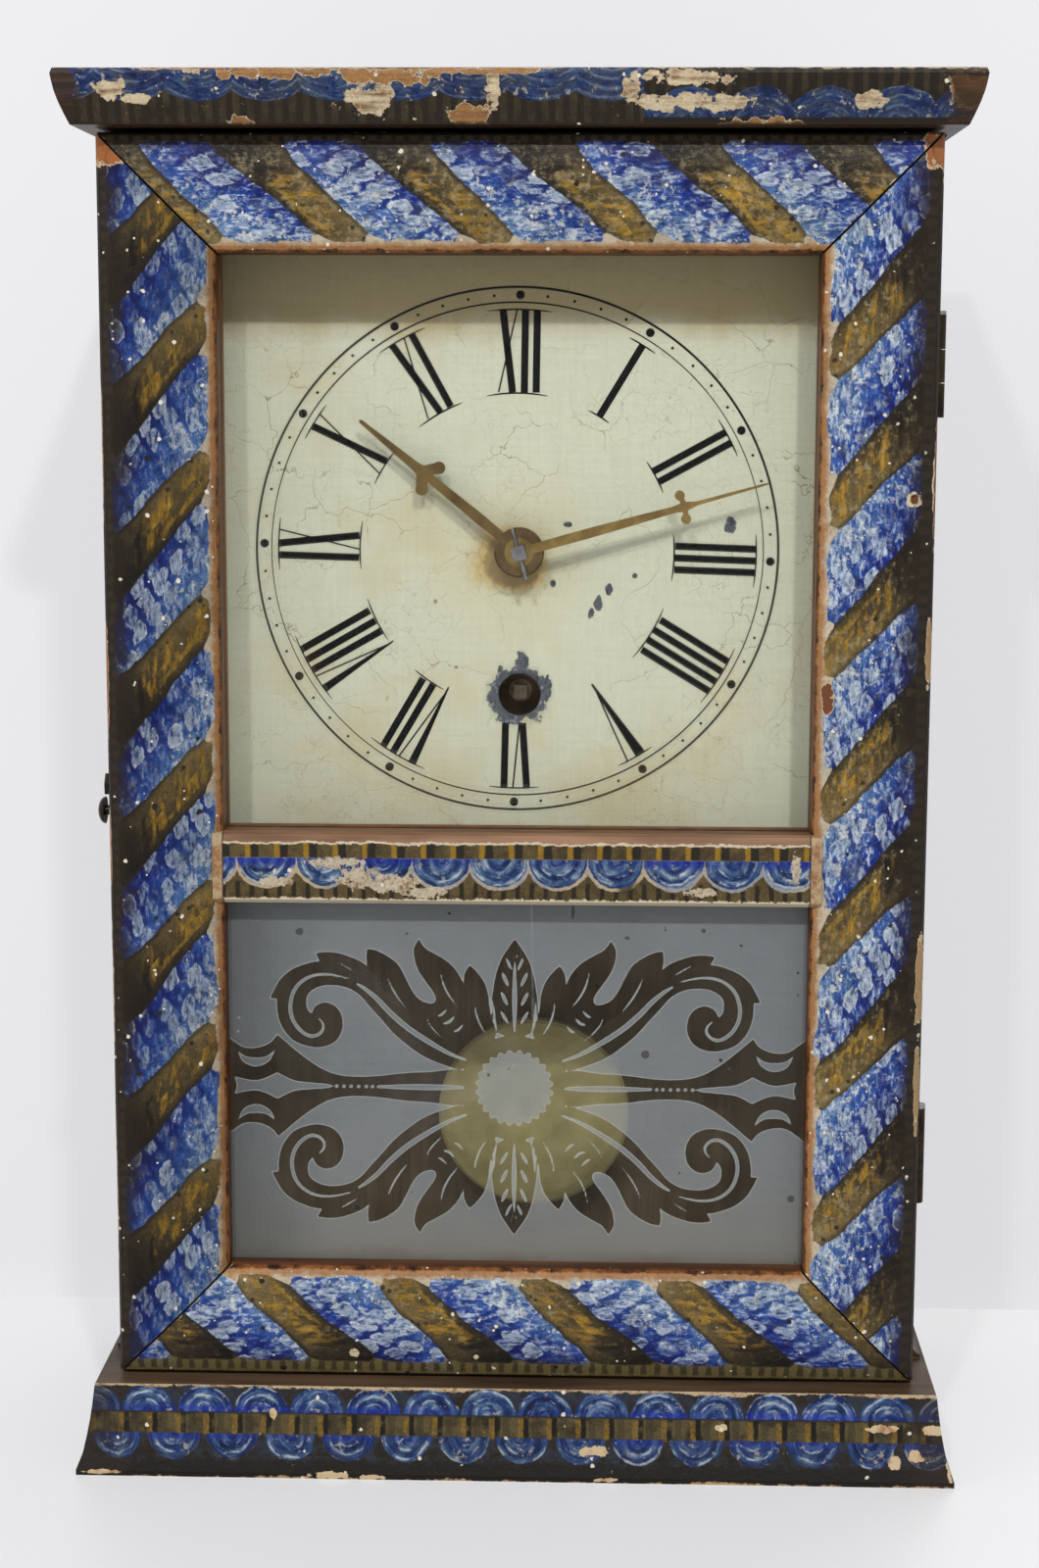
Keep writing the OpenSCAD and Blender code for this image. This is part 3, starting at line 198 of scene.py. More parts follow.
class Finish:
    """One material. Layers of colour are laid on in order, then done() joins them to the shader."""

    def __init__(self, name, first, **fixed):
        self.material = bpy.data.materials.new(name)
        self.material.use_nodes = True
        self.tree = self.material.node_tree
        self.shader = self.tree.nodes["Principled BSDF"]
        for socket, value in fixed.items():
            self.shader.inputs[socket.replace("_", " ")].default_value = value
        self.top = ready(first)
        place = self.node("ShaderNodeTexCoord", {}, {}, out="Object")
        self.at = self.node("ShaderNodeVectorMath", {"operation": "SCALE"}, {0: place, "Scale": MM})
        split = self.node("ShaderNodeSeparateXYZ", {}, [self.at]).socket.node
        self.x, self.y, self.z = (Wire(self, split.outputs[i]) for i in range(3))

    def node(self, kind, settings=None, values=None, out=0):
        """Any node: its settings first, then the numbers or wires of its sockets, by name or place."""
        made = self.tree.nodes.new(kind)
        for key, value in (settings or {}).items():
            if key == "stops":
                ramp = made.color_ramp
                while len(ramp.elements) < len(value):
                    ramp.elements.new(0.5)
                for element, (position, shade) in zip(ramp.elements, value):
                    element.position, element.color = position, ready(shade)
            else:
                setattr(made, key, value)
        pairs = values.items() if isinstance(values, dict) else enumerate(values or [])
        for key, value in pairs:
            if isinstance(value, Wire):
                self.tree.links.new(value.socket, made.inputs[key])
            elif value is not None and made.inputs[key].type == "VECTOR":
                made.inputs[key].default_value = value[:3]
            elif value is not None:
                made.inputs[key].default_value = ready(value)
        return Wire(self, made.outputs[out])

    def point(self, x, y, z):
        return self.node("ShaderNodeCombineXYZ", {}, [x, y, z])

    def facing(self, axis):
        """How far the surface faces along an axis, from -1 to 1: 0 is X, 1 is Y, 2 is Z."""
        normal = self.node("ShaderNodeTexCoord", {}, {}, out="Normal")
        return Wire(self, self.node("ShaderNodeSeparateXYZ", {}, [normal]).socket.node.outputs[axis])

    def noise(self, size, detail=3.0, rough=0.55, at=None, stretch=None, shift=0.0):
        """Smooth noise about 0, mostly within a third of it. Size is its grain in millimetres."""
        place = at or self.at
        if stretch or shift:
            place = self.node(
                "ShaderNodeMapping", {},
                {"Vector": place, "Location": (shift, shift * 0.7, -shift), "Scale": stretch or (1, 1, 1)},
            )
        made = self.node(
            "ShaderNodeTexNoise", {},
            {"Vector": place, "Scale": 1.0 / size, "Detail": detail, "Roughness": rough},
        )
        return (made - 0.5) * NOISE_GAIN

    def cells(self, size, at=None, out="Distance", feature="F1", jitter=1.0):
        """Voronoi cells: the distance to the nearest point in cell widths, or that cell's colour."""
        return self.node(
            "ShaderNodeTexVoronoi", {"feature": feature},
            {"Vector": at or self.at, "Scale": 1.0 / size, "Randomness": jitter}, out=out,
        )

    def lot(self, *indices):
        """One random number from 0 to 1 for each set of whole numbers."""
        spare = list(indices) + [0.0] * (3 - len(indices))
        return self.node("ShaderNodeTexWhiteNoise", {"noise_dimensions": "3D"}, {"Vector": self.point(*spare)})

    def ramp(self, tone, *stops):
        """A tone from 0 to 1 looked up in a row of colours."""
        return self.node("ShaderNodeValToRGB", {"stops": stops}, {"Fac": tone})

    def mix(self, under, over, mask):
        return self.node("ShaderNodeMix", {"data_type": "RGBA"}, {0: mask, 6: under, 7: over}, out=2)

    def stack(self, under, *layers):
        """Colours over one another: each layer is a colour and its mask."""
        for shade, mask in layers:
            under = self.mix(under, shade, mask)
        return under

    def lay(self, shade, mask):
        """Lays a colour over what is there, where the mask is 1."""
        self.top = self.mix(self.top, shade, mask)
        return mask

    def grade(self, amount, gain=0.5):
        """Lightens or darkens what is there by a wire about 0."""
        factor = amount * gain + 1.0
        self.top = self.node(
            "ShaderNodeVectorMath", {"operation": "MULTIPLY"}, [self.top, self.point(factor, factor, factor)]
        )

    def spots(self, places, ragged, across=None, reach_to=1.0):
        """A mask of crisp ovals (x, z, half length, half height), torn by the ragged wire."""
        first, second = across or (self.x, self.z)
        mask = None
        for px, pz, half_x, half_z in places:
            reach = ((first - px) / half_x) ** 2.0 + ((second - pz) / half_z) ** 2.0
            one = (reach + ragged).rise(reach_to + 0.06, reach_to - 0.06)
            mask = one if mask is None else mask.high(one)
        return mask

    def done(self, rough=0.5, height=None, relief=0.1):
        """Joins colour, roughness and relief (a wire, and its depth in millimetres) to the shader."""
        if isinstance(self.top, Wire):
            self.tree.links.new(self.top.socket, self.shader.inputs["Base Color"])
        else:
            self.shader.inputs["Base Color"].default_value = self.top
        if isinstance(rough, Wire):
            self.tree.links.new(rough.socket, self.shader.inputs["Roughness"])
        else:
            self.shader.inputs["Roughness"].default_value = rough
        if height is not None:
            bump = self.node("ShaderNodeBump", {}, {"Strength": 1.0, "Distance": relief / MM, "Height": height})
            self.tree.links.new(bump.socket, self.shader.inputs["Normal"])
        return self.material


def dress(finish_material, *names):
    """Gives CAD pieces a finish through their own material slots."""
    for name in names:
        piece = nodes[name]
        if not piece.material_slots:
            piece.data.materials.append(finish_material)
        for slot in piece.material_slots:
            slot.material = finish_material


print("shader bench ready")

# %% [markdown]
# ## Camera
# The camera stands where the photographer stood: a little above the middle and a little to the
# right, 604 mm in front, looking 8.7 degrees down. Placed by eye it would be a degree or two off, and
# no edge would fall where it does in the photograph. So its numbers come from a pinhole camera that
# was fitted to the clock's corners, and its turn is a matrix, where yaw, pitch and roll meet.

# %% Camera


def add_object(name, data):
    """A new object in the scene that shows this mesh, lamp or camera."""
    thing = bpy.data.objects.new(name, data)
    bpy.context.scene.collection.objects.link(thing)
    return thing


CAMERA_AT = (0.0183, -0.604, 0.2424)
FOCAL_PX, TALL_PX = 2707.8, 1600.0
PITCH, YAW, ROLL = (math.radians(a) for a in (8.736, 1.775, 0.171))


def turned_axes(pitch, yaw, roll):
    """Right, up and forward: pitched down about X, then yawed about Z, then rolled about forward."""
    cy, sy, cp, sp, cr, sr = (f(a) for a in (yaw, pitch, roll) for f in (math.cos, math.sin))
    about_z = np.array([[cy, -sy, 0], [sy, cy, 0], [0, 0, 1]])
    right, up, forward = (about_z @ np.array([[1, 0, 0], [0, sp, cp], [0, cp, -sp]]).T).T
    return right * cr + up * sr, up * cr - right * sr, forward


right, up, forward = turned_axes(PITCH, YAW, ROLL)
camera_data = bpy.data.cameras.new("camera")
camera_data.sensor_width = 36.0
camera_data.lens = FOCAL_PX / TALL_PX * camera_data.sensor_width
camera_data.clip_start, camera_data.clip_end = 0.01, 20.0
camera = add_object("camera", camera_data)
pose = np.eye(4)
pose[:3, 0], pose[:3, 1], pose[:3, 2], pose[:3, 3] = right, up, -forward, CAMERA_AT
camera.matrix_world = Matrix(pose.tolist())
bpy.context.scene.camera = camera
bpy.context.scene.view_settings.view_transform = "Standard"
print("lens", round(camera_data.lens, 2), "mm")

# %% [markdown]
# ## Light
# The frame throws a soft shadow on the dial from the left and another from the right, and a deeper
# one below the cornice. A single large lamp would be simpler and would lose them. Two small lamps
# high above the camera draw them, two wide ones soften the left side and the back, and a plain sky
# fills the rest. To the camera, and in gloss and glass, the sky is brighter than what it gives to
# the wood: the background is pale, and the dark paint stays dark.

# %% Lamps
LOOK_AT = Vector((0.0, -0.03, 0.16))


def lamp(name, azimuth, elevation, distance, wide, tall, power):
    """An area lamp on a sphere round the clock: azimuth from the front, positive to the right."""
    a, e = math.radians(azimuth), math.radians(elevation)
    data = bpy.data.lights.new(name, "AREA")
    data.shape, data.size, data.size_y, data.energy = "RECTANGLE", wide, tall, power
    thing = add_object(name, data)
    way = Vector((math.sin(a) * math.cos(e), -math.cos(a) * math.cos(e), math.sin(e)))
    thing.location = LOOK_AT + way * distance
    thing.rotation_mode = "QUATERNION"
    thing.rotation_quaternion = (-way).to_track_quat("-Z", "Y")


lamp("lamp_right", 13, 39, 1.9, 0.07, 0.05, 13)
lamp("lamp_left", -14, 39, 1.9, 0.07, 0.05, 9)
lamp("lamp_side", -62, 18, 1.8, 0.9, 0.9, 5)
lamp("lamp_back", 155, 28, 1.9, 1.0, 1.0, 6)

SKY, SKY_STRENGTH, SKY_SHOWN = (244, 244, 246), 0.5, 0.36
world = bpy.data.worlds.new("room")
bpy.context.scene.world = world
world.use_nodes = True
sky = world.node_tree.nodes["Background"]
sky.inputs["Color"].default_value = colour(*SKY)
eye = world.node_tree.nodes.new("ShaderNodeLightPath")
shown = eye.outputs["Is Camera Ray"]
for kind in ("Is Glossy Ray", "Is Transmission Ray", None):
    step = world.node_tree.nodes.new("ShaderNodeMath")
    step.operation = "MAXIMUM" if kind else "MULTIPLY_ADD"
    world.node_tree.links.new(shown, step.inputs[0])
    if kind:
        world.node_tree.links.new(eye.outputs[kind], step.inputs[1])
    else:
        step.inputs[1].default_value, step.inputs[2].default_value = SKY_SHOWN, SKY_STRENGTH
    shown = step.outputs[0]
world.node_tree.links.new(shown, sky.inputs["Strength"])
print("lamps set")

# %% [markdown]
# ## Table and wall
# The clock stands on a white table before a white wall. A curved backdrop has no edge, but here the
# table's far edge shows as a faint line, so the table ends in a small step. Both give off a little
# light that only the camera, gloss and glass can see, because lamps strong enough to turn them white
# would also bleach the paint. The wall is clear from behind, so that the case's back can be seen.

# %% Table and wall
WALL_Y, TABLE_EDGE_Y, STEP_Z, FAR = 0.105, 0.069, -0.0132, 3.0


def sheet_piece(name, profile, material):
    """A profile of points (y, z) drawn out along X to both sides."""
    rows = np.array([[(x, y, z) for x in (-FAR, FAR)] for y, z in profile])
    i = np.arange(len(profile) - 1)[:, None] * 2
    mesh = bpy.data.meshes.new(name)
    mesh.from_pydata(rows.reshape(-1, 3).tolist(), [], (i + [0, 1, 3, 2]).tolist())
    mesh.materials.append(material)
    thing = add_object(name, mesh)
    return thing


def plain(name, shade, seen_shade, glow, rough):
    """White to the light that bounces; to camera, gloss and glass a softer tone with a little glow."""
    finish = Finish(name, shade, Emission_Strength=1.0)
    rays = finish.node("ShaderNodeLightPath", {}, {}).socket.node
    seen = Wire(finish, rays.outputs["Is Camera Ray"])
    for kind in ("Is Glossy Ray", "Is Transmission Ray"):
        seen = seen.high(Wire(finish, rays.outputs[kind]))
    finish.lay(seen_shade, seen)
    finish.grade(finish.noise(90.0), 0.012)
    glowing = finish.mix((0.0, 0.0, 0.0, 1.0), (glow, glow, glow * 1.015, 1.0), seen)
    finish.tree.links.new(glowing.socket, finish.shader.inputs["Emission Color"])
    return finish.done(rough)


def one_sided(material):
    """Seen from behind, the sheet is clear: a Mix Shader turned by the side that a ray meets."""
    links, make = material.node_tree.links, material.node_tree.nodes.new
    side, clear_side, chooser = (make(kind) for kind in (
        "ShaderNodeNewGeometry", "ShaderNodeBsdfTransparent", "ShaderNodeMixShader"))
    output = material.node_tree.nodes["Material Output"]
    links.new(side.outputs["Backfacing"], chooser.inputs[0])
    links.new(material.node_tree.nodes["Principled BSDF"].outputs[0], chooser.inputs[1])
    links.new(clear_side.outputs[0], chooser.inputs[2])
    links.new(chooser.outputs[0], output.inputs["Surface"])


sheet_piece("table", [(-FAR, 0), (TABLE_EDGE_Y, 0), (TABLE_EDGE_Y, STEP_Z), (FAR, STEP_Z)],
            plain("table_white", (226, 227, 229), (178, 178, 179), 0.39, 0.4))
wall_white = plain("wall_white", (224, 223, 225), (152, 151, 153), 0.5, 0.7)
wall = sheet_piece("wall", [(WALL_Y, STEP_Z), (WALL_Y, FAR)], wall_white)
one_sided(wall_white)
for light_path in ("diffuse", "shadow"):
    setattr(wall, "visible_" + light_path, False)
print("stage set")

# %% [markdown]
# ## Old paint on the mouldings
# Over a cream ground the painter laid slanting ropes: blue strands dabbed with pale ovals, between
# brown ones stroked with ochre. All four sides of the door are one pattern seen from its own outer
# edge, so one function paints it from two wires: `u` runs along the moulding and `v` from its outer
# edge inwards. A strand is a straight line u + v, which is why it slants.

# %% Colours of the paint
CREAM = (194, 180, 154)
BARE = (146, 92, 56)
RAW_RED = (106, 64, 42)
SOOT = (34, 31, 26)
OLIVE = (98, 86, 54)
OLIVE_DARK = (56, 50, 36)
SPECK = (214, 204, 186)
print("cream", CREAM, "bare wood", BARE, "soot", SOOT)

# %% Small lost flakes


def specks(f, size, share, shade, seed, widest=0.15):
    """Small lost flakes: a few of the cells show a dot of another colour."""
    at = f.node("ShaderNodeVectorMath", {"operation": "ADD"}, [f.at, (seed, seed * 2.0, -seed)])
    chosen = f.node("ShaderNodeSeparateColor", {}, [f.cells(size, at=at, out="Color")])
    dot = f.cells(size, at=at) + f.noise(size * 0.3, 3.0, 0.65) * widest * 0.8
    radius = chosen * widest
    return f.lay(shade, (dot - radius).rise(0.02, -0.03) * chosen.rise(1.0 - share, 1.0 - share + 0.02))


print("flakes ready")

# %% [markdown]
# ## Strands
# A blue strand is deep on its outer side and was dabbed with rows of pale ovals while still wet; a
# brown one got long strokes of ochre. A picture of the paint would be quicker, but it wouldn't follow
# a frame of another size. So each strand is a stack of masks over a ramp of tones, and white noise
# drawn from the numbers of strand, row and column makes every dab a little different.

# %% Blue and brown strands
DAB_STEP, DAB_RISE = 5.2, 3.3


def strands(f, u, v, centre, period, width, seed, pale):
    """Blue and brown strands. Where u + v is centre plus whole periods, a blue strand has its middle."""
    wobble = f.noise(9.0, 2.0, shift=seed) * 0.9 + f.noise(2.2, 2.0, shift=seed) * 0.35
    bend = (v / width * math.tau).wave() * -0.9
    w = u + v + wobble + bend - centre
    across = w.over(period)
    number = (w / period + 0.5).floor()
    depth = v / width
    half = (depth * 0.085 + 0.245) * period
    inside = half - abs(across)
    side = across / half
    cloud = f.noise(3.2, 3.0, shift=seed + 3)
    fine = f.noise(0.9, 4.0, 0.7, shift=seed + 5)
    shake = f.noise(3.4, 2.0, shift=seed + 9)
    streak = f.noise(0.8, 4.0, 0.66, at=f.point(u * 0.36, v, number * 5.0 + seed))
    broad = f.noise(2.4, 3.0, 0.6, at=f.point(u * 0.5, v, number * 9.0 + seed))
    chalk = f.noise(1.7, 5.0, 0.72, shift=seed + 14)
    # Blue strand: deep on its outer side, pale on its inner side, with rows of pale oval dabs.
    column = (w + shake * 0.9) / DAB_STEP
    row = (v + column.floor() * 1.5 + shake * 0.9) / DAB_RISE
    dab_w, dab_v = (column.sum("FRACT") - 0.5) * DAB_STEP, (row.sum("FRACT") - 0.5) * DAB_RISE
    lucky = f.lot(column.floor(), row.floor(), number)
    oval = (abs(dab_w - dab_v) / (lucky * 0.7 + 2.1)) ** 2.0 + (dab_v / 1.45) ** 2.0
    oval = oval + fine * 0.34 + cloud * 0.28
    dab = oval.rise(1.15, 0.5) * (lucky * 0.9 + streak * 0.9 + 0.05).rise(0.0, 0.9)
    dab = dab * (depth * 5.0 - 0.4).low(1.0).high(0.0)
    rim = oval.rise(0.5, 0.85) * oval.rise(1.25, 0.95) * (lucky + fine * 0.5).rise(0.4, 1.0)
    gap = oval.rise(0.95, 1.8) * (1.0 - depth * 0.6) * (0.7 - side * 0.45)
    pale_zone = (side * 0.45 + (depth - 0.4) * 1.0 + cloud * 0.7 + pale).rise(-0.3, 0.7)
    pitted = f.noise(1.3, 5.0, 0.74, shift=seed + 15).rise(0.12, 0.6)
    blue = f.stack(
        f.ramp(
            side * 0.16 + (depth - 0.5) * 0.42 + cloud * 0.2 + fine * 0.16 + 0.4,
            (0.0, (10, 12, 34)), (0.22, (20, 37, 116)), (0.45, (40, 73, 142)),
            (0.66, (74, 108, 154)), (0.84, (128, 148, 166)), (1.0, (192, 192, 182)),
        ),
        (f.mix((66, 92, 132), (158, 170, 180), lucky * 0.6 + streak + 0.2), dab * 0.85),
        ((194, 200, 204), rim * (streak + 0.55).rise(0.0, 0.8) * 0.8),
        ((176, 188, 202), streak.rise(0.05, 0.4) * (broad + depth * 0.7 - 0.3 + pale).rise(-0.2, 0.5) * 0.8),
        ((16, 28, 80), (streak * -1.0).rise(0.08, 0.5) * (0.8 - broad * 0.5) * 0.85),
        ((82, 86, 84), (broad * -1.0 + fine * 0.3).rise(0.15, 0.7) * 0.5),
        ((12, 20, 70), (gap * 0.85).high(0.0).low(1.0)),
        ((200, 202, 196), chalk.rise(0.06, 0.34) * pale_zone * 0.8),
        ((12, 12, 26), pitted * (1.15 - depth * 0.7) * 0.75),
    )
    # Brown strand: olive between dark seams, stroked with ochre, darker towards the outer edge.
    brown_half = period * 0.5 - half
    brown_side = (w + period * 0.5).over(period) / brown_half
    dusk = 0.56 - brown_side * 0.26 + (depth - 0.5) * 0.55 + cloud * 0.2 + fine * 0.12 + streak * 0.1
    brush = f.noise(1.7, 3.0, 0.6, at=f.point(u * 0.26, v, number * 7.0 + seed))
    zone = depth.rise(0.22, 0.45) * depth.rise(1.0, 0.8)
    zone = zone * abs(brown_side + 0.05 + shake * 0.15).rise(0.8, 0.35)
    chalky = (chalk + streak * 0.4 + pale).rise(0.1, 0.6) * (depth + cloud * 0.3 + pale).rise(0.1, 0.7)
    long_stroke = abs(brown_side - 0.5 + shake * 0.12).rise(0.16, 0.05)
    long_stroke = long_stroke * (depth + shake * 0.1).rise(0.42, 0.55) * depth.rise(0.95, 0.75)
    curl = abs(brown_side * brown_side * -2.2 + v - width * 0.3 + cloud * 0.8)
    bead = f.cells(2.3, at=f.point(u, v, number * 7.0))
    beads = bead.rise(0.3, 0.17) * (brown_side + 0.6 + fine * 0.1).rise(0.2, 0.04) * depth.rise(0.3, 0.6)
    seam = inside + fine * 0.25 + cloud * 0.3
    brown = f.stack(
        f.ramp(
            dusk - (0.55 - depth + cloud * 0.15).high(0.0) * 0.5,
            (0.0, (20, 17, 13)), (0.3, (44, 37, 26)), (0.55, (74, 62, 39)),
            (0.8, (98, 82, 50)), (1.0, (120, 104, 70)),
        ),
        ((144, 110, 34), (brush + 0.12).rise(0.0, 0.5) * zone * 0.8),
        ((178, 140, 62), (brush + streak * 0.5).rise(0.3, 0.7) * zone * 0.6),
        ((146, 132, 100), chalky * 0.65),
        ((156, 122, 40), long_stroke * (f.lot(number, 5.0) + streak * 0.9).rise(0.2, 0.9) * 0.6),
        ((20, 17, 13), curl.rise(0.9, 0.2) * abs(brown_side - 0.1).rise(0.7, 0.4) * 0.8),
        ((26, 24, 20), beads * 0.85),
        ((34, 28, 20), seam.rise(-1.7, -0.3) * (1.25 - depth * 0.6) * 0.75),
        ((24, 19, 14), f.noise(1.1, 5.0, 0.74, shift=seed + 16).rise(0.12, 0.6) * 0.7),
    )
    paint = f.mix(brown, blue, (inside + fine * 0.25).rise(-0.18, 0.22))
    rounding = abs(abs(across) - half).rise(2.6, 0.0)
    return paint, rounding, cloud, fine, streak


print("strands ready")

# %% [markdown]
# ## One side of the frame
# The strands stop short of the inner edge, where hands wore the paint down to the wood, and a dark
# border of upright ticks runs along the outer one, under soot and painted shade. Each chip could be a
# mesh of its own, but a coat of paint has no thickness to see at this size: a loss is an oval torn by
# noise, with a pale rim of ground and wood inside, and the bump makes its edge catch the light.

# %% One coat for any side
PAINT_GLOSS = 0.13


def door_paint(name, u_of, v_of, centre, period, seed, losses=(), border=(OLIVE, OLIVE_DARK), trim=2.6,
               worn=1.0, greyed=0.0, dark=4.0, pale=0.0, dim=0.0):
    """The finish of one side of the door frame."""
    f = Finish(name, CREAM, Specular_IOR_Level=PAINT_GLOSS)
    u, v = u_of(f), v_of(f)
    paint, rounding, cloud, fine, streak = strands(f, u, v, centre, period, frame_w, seed, pale)
    ragged = f.noise(1.6, 5.0, 0.7, shift=seed + 20)
    torn = f.noise(2.4, 3.0, 0.55, shift=seed + 21) + fine * 0.25
    ground = f.mix((176, 164, 142), (152, 110, 70), (v + torn * 0.9).rise(frame_w - 2.9, frame_w - 1.2))
    f.lay(f.mix(ground, (150, 106, 68), (cloud + fine * 0.5).rise(0.1, 0.7) * 0.6), 1.0)
    stop = frame_w - 1.9 - rounding * 1.6 - (f.noise(14.0, 2.0, shift=seed + 31) + 0.35) * 0.9 * worn
    painted = (stop - v + torn * 0.5).rise(-0.1, 0.12)
    f.lay(paint, painted)
    f.grade(f.noise(11.0, 4.0, 0.65, shift=seed + 52) - dim, 0.3)
    f.grade(f.noise(0.5, 3.0, 0.7, shift=seed + 53), 0.35)
    # Soot and painted shade towards the outer edge, nearly black at the very edge, and the border with upright
    # ticks.
    tick = abs((u + cloud * 0.5).over(2.9)) + fine * 0.2 + (v - trim) * 0.06
    edge = (v - trim - ragged * 0.3 - rounding * 0.8).rise(0.35, -0.35)
    soot_and_shade = v + ragged * 1.1 + cloud * 1.6 + f.noise(13.0, 2.0, shift=seed + 64) * 2.6
    f.lay((36, 28, 20), soot_and_shade.rise(dark, dark * 0.35) * 0.8)
    f.lay(border[0], edge * 0.92)
    f.lay(border[1], edge * tick.rise(0.72, 0.42) * (v - trim * 0.3).rise(-0.4, 0.5) * 0.9)
    f.lay((20, 17, 14), (v + torn * 0.4).rise(1.0, 0.2) * 0.75)
    grey = f.noise(5.0, 4.0, 0.7, shift=seed + 40)
    f.lay((118, 110, 92), grey.rise(0.15, 1.1) * greyed * (v / frame_w).rise(0.75, 0.1))
    # Bare wood on the rounded inner edge and in the listed losses; the open mitre; lost flakes.
    bare = f.mix((150, 92, 50), (48, 29, 20), (cloud * 0.7 + fine * 0.5 + rounding * 0.4).rise(-0.55, 0.6))
    f.lay(bare, (v + ragged * 0.5 + cloud * 0.3).rise(frame_w - 0.95, frame_w - 0.6))
    flakes = f.noise(2.6, 5.0, 0.74, shift=seed + 44).rise(0.6, 0.66)
    f.lay((196, 176, 146), flakes * (v / frame_w).rise(0.1, 0.9))
    specks(f, 3.1, 0.24, SPECK, seed)
    specks(f, 1.7, 0.12, SPECK, seed + 61)
    specks(f, 4.7, 0.14, SOOT, seed + 60)
    for shade, places in losses:
        f.lay((182, 160, 128), f.spots(places, torn * 1.3, reach_to=1.3))
        f.lay(f.mix(shade, (96, 62, 38), (streak + cloud * 0.5).rise(0.0, 0.7) * 0.7), f.spots(places, torn * 1.3))
    mitre = abs((half_door - abs(f.x)) - (high_edge - f.z).low(f.z - low_edge))
    split_here = f.noise(3.0, 3.0, shift=seed + 71).rise(0.1, 0.5)
    f.lay((186, 166, 138), (mitre + ragged * 0.3).rise(0.62, 0.4) * split_here)
    f.lay((12, 10, 8), (mitre + fine * 0.06).rise(0.36, 0.2))
    upright = name.endswith("stile")
    board = f.point(f.x, f.y * 0.9, f.z * 0.06) if upright else f.point(f.x * 0.06, f.y * 0.9, f.z)
    grain = f.noise(1.6, 4.0, 0.6, at=board)
    f.lay(f.mix((60, 36, 24), (98, 62, 38), (grain + fine * 0.2).rise(-0.5, 0.5)), f.facing(1).rise(-0.35, -0.1))
    relief = painted * 0.5 + fine * 0.22 + streak * 0.3 + ragged * 0.08 + f.noise(0.45, 2.0) * 0.1
    return f.done(fine * 0.1 + 0.36, relief, 0.14)


print("coat for the frame ready")

# %% Door frame, each side from its own outer edge
# Each loss is a colour and its ovals: x, z, half length, half height.
RIGHT_TOP_CHIP = (BARE, [(88.6, 289.6, 3.4, 4.2), (90.6, 284.0, 1.6, 5.0)])

# The darker border colours of the top rail and the stiles, and the stiles' wider darkening (dark), are dark paint
# and painted shade: under the cornice on the top rail, on the rounded outer edges of the stiles.
dress(door_paint(
    "paint_bottom_rail", lambda f: f.x, lambda f: f.z - low_edge, 11.9, 31.2, 1.0,
    losses=[(CREAM, [(-36.0, 26.0, 1.1, 0.9), (-8.6, 25.4, 0.5, 0.5)])], trim=3.4,
), "door_bottom_rail")
dress(door_paint(
    "paint_top_rail", lambda f: -f.x, lambda f: high_edge - f.z, 74.3, 30.75, 12.0, greyed=0.45,
    border=((58, 49, 34), (30, 25, 19)), losses=[RIGHT_TOP_CHIP], trim=1.8, dark=2.6, pale=0.2,
), "door_top_rail")
dress(door_paint(
    "paint_left_stile", lambda f: -f.z, lambda f: f.x - left_edge, -152.65, 31.25, 23.0,
    border=((48, 38, 26), SOOT), trim=1.9, dark=6.6, pale=-0.3, dim=1.0,
    losses=[
        ((150, 92, 50), [(-86.8, 289.6, 6.5, 3.4), (-88.9, 176.0, 0.55, 12.0), (-88.9, 140.0, 0.5, 8.0)]),
        ((186, 160, 126), [(-89.1, 108.0, 0.45, 16.0), (-89.1, 226.0, 0.45, 20.0), (-89.1, 60.0, 0.4, 14.0)]),
    ],
), "door_left_stile")
dress(door_paint(
    "paint_right_stile", lambda f: f.z, lambda f: right_edge - f.x, 158.15, 31.75, 37.0,
    border=((46, 38, 27), SOOT), trim=2.8, worn=1.5, dark=8.0, pale=0.1,
    losses=[
        RIGHT_TOP_CHIP,
        (CREAM, [(88.6, 219.5, 0.5, 6.0), (84.4, 216.8, 1.45, 1.45)]),
        ((150, 122, 86), [(88.3, 184.0, 0.7, 6.0), (88.0, 112.0, 0.75, 10.0), (88.0, 88.0, 0.6, 9.0)]),
        (RAW_RED, [(66.9, 174.0, 1.3, 3.4), (84.4, 216.8, 0.8, 0.8), (88.9, 219.0, 0.5, 12.0)]),
    ],
), "door_right_stile")
print("door frame painted")

# %% [markdown]
# ## Scallops
# The cross rail, the base and the cornice carry one more motif: rows of half circles with
# concentric arcs, hanging or standing, above or below a band of ticks. The distance to the middle
# of the nearest half circle gives both its outline and its arcs.

# %% Rows of half circles


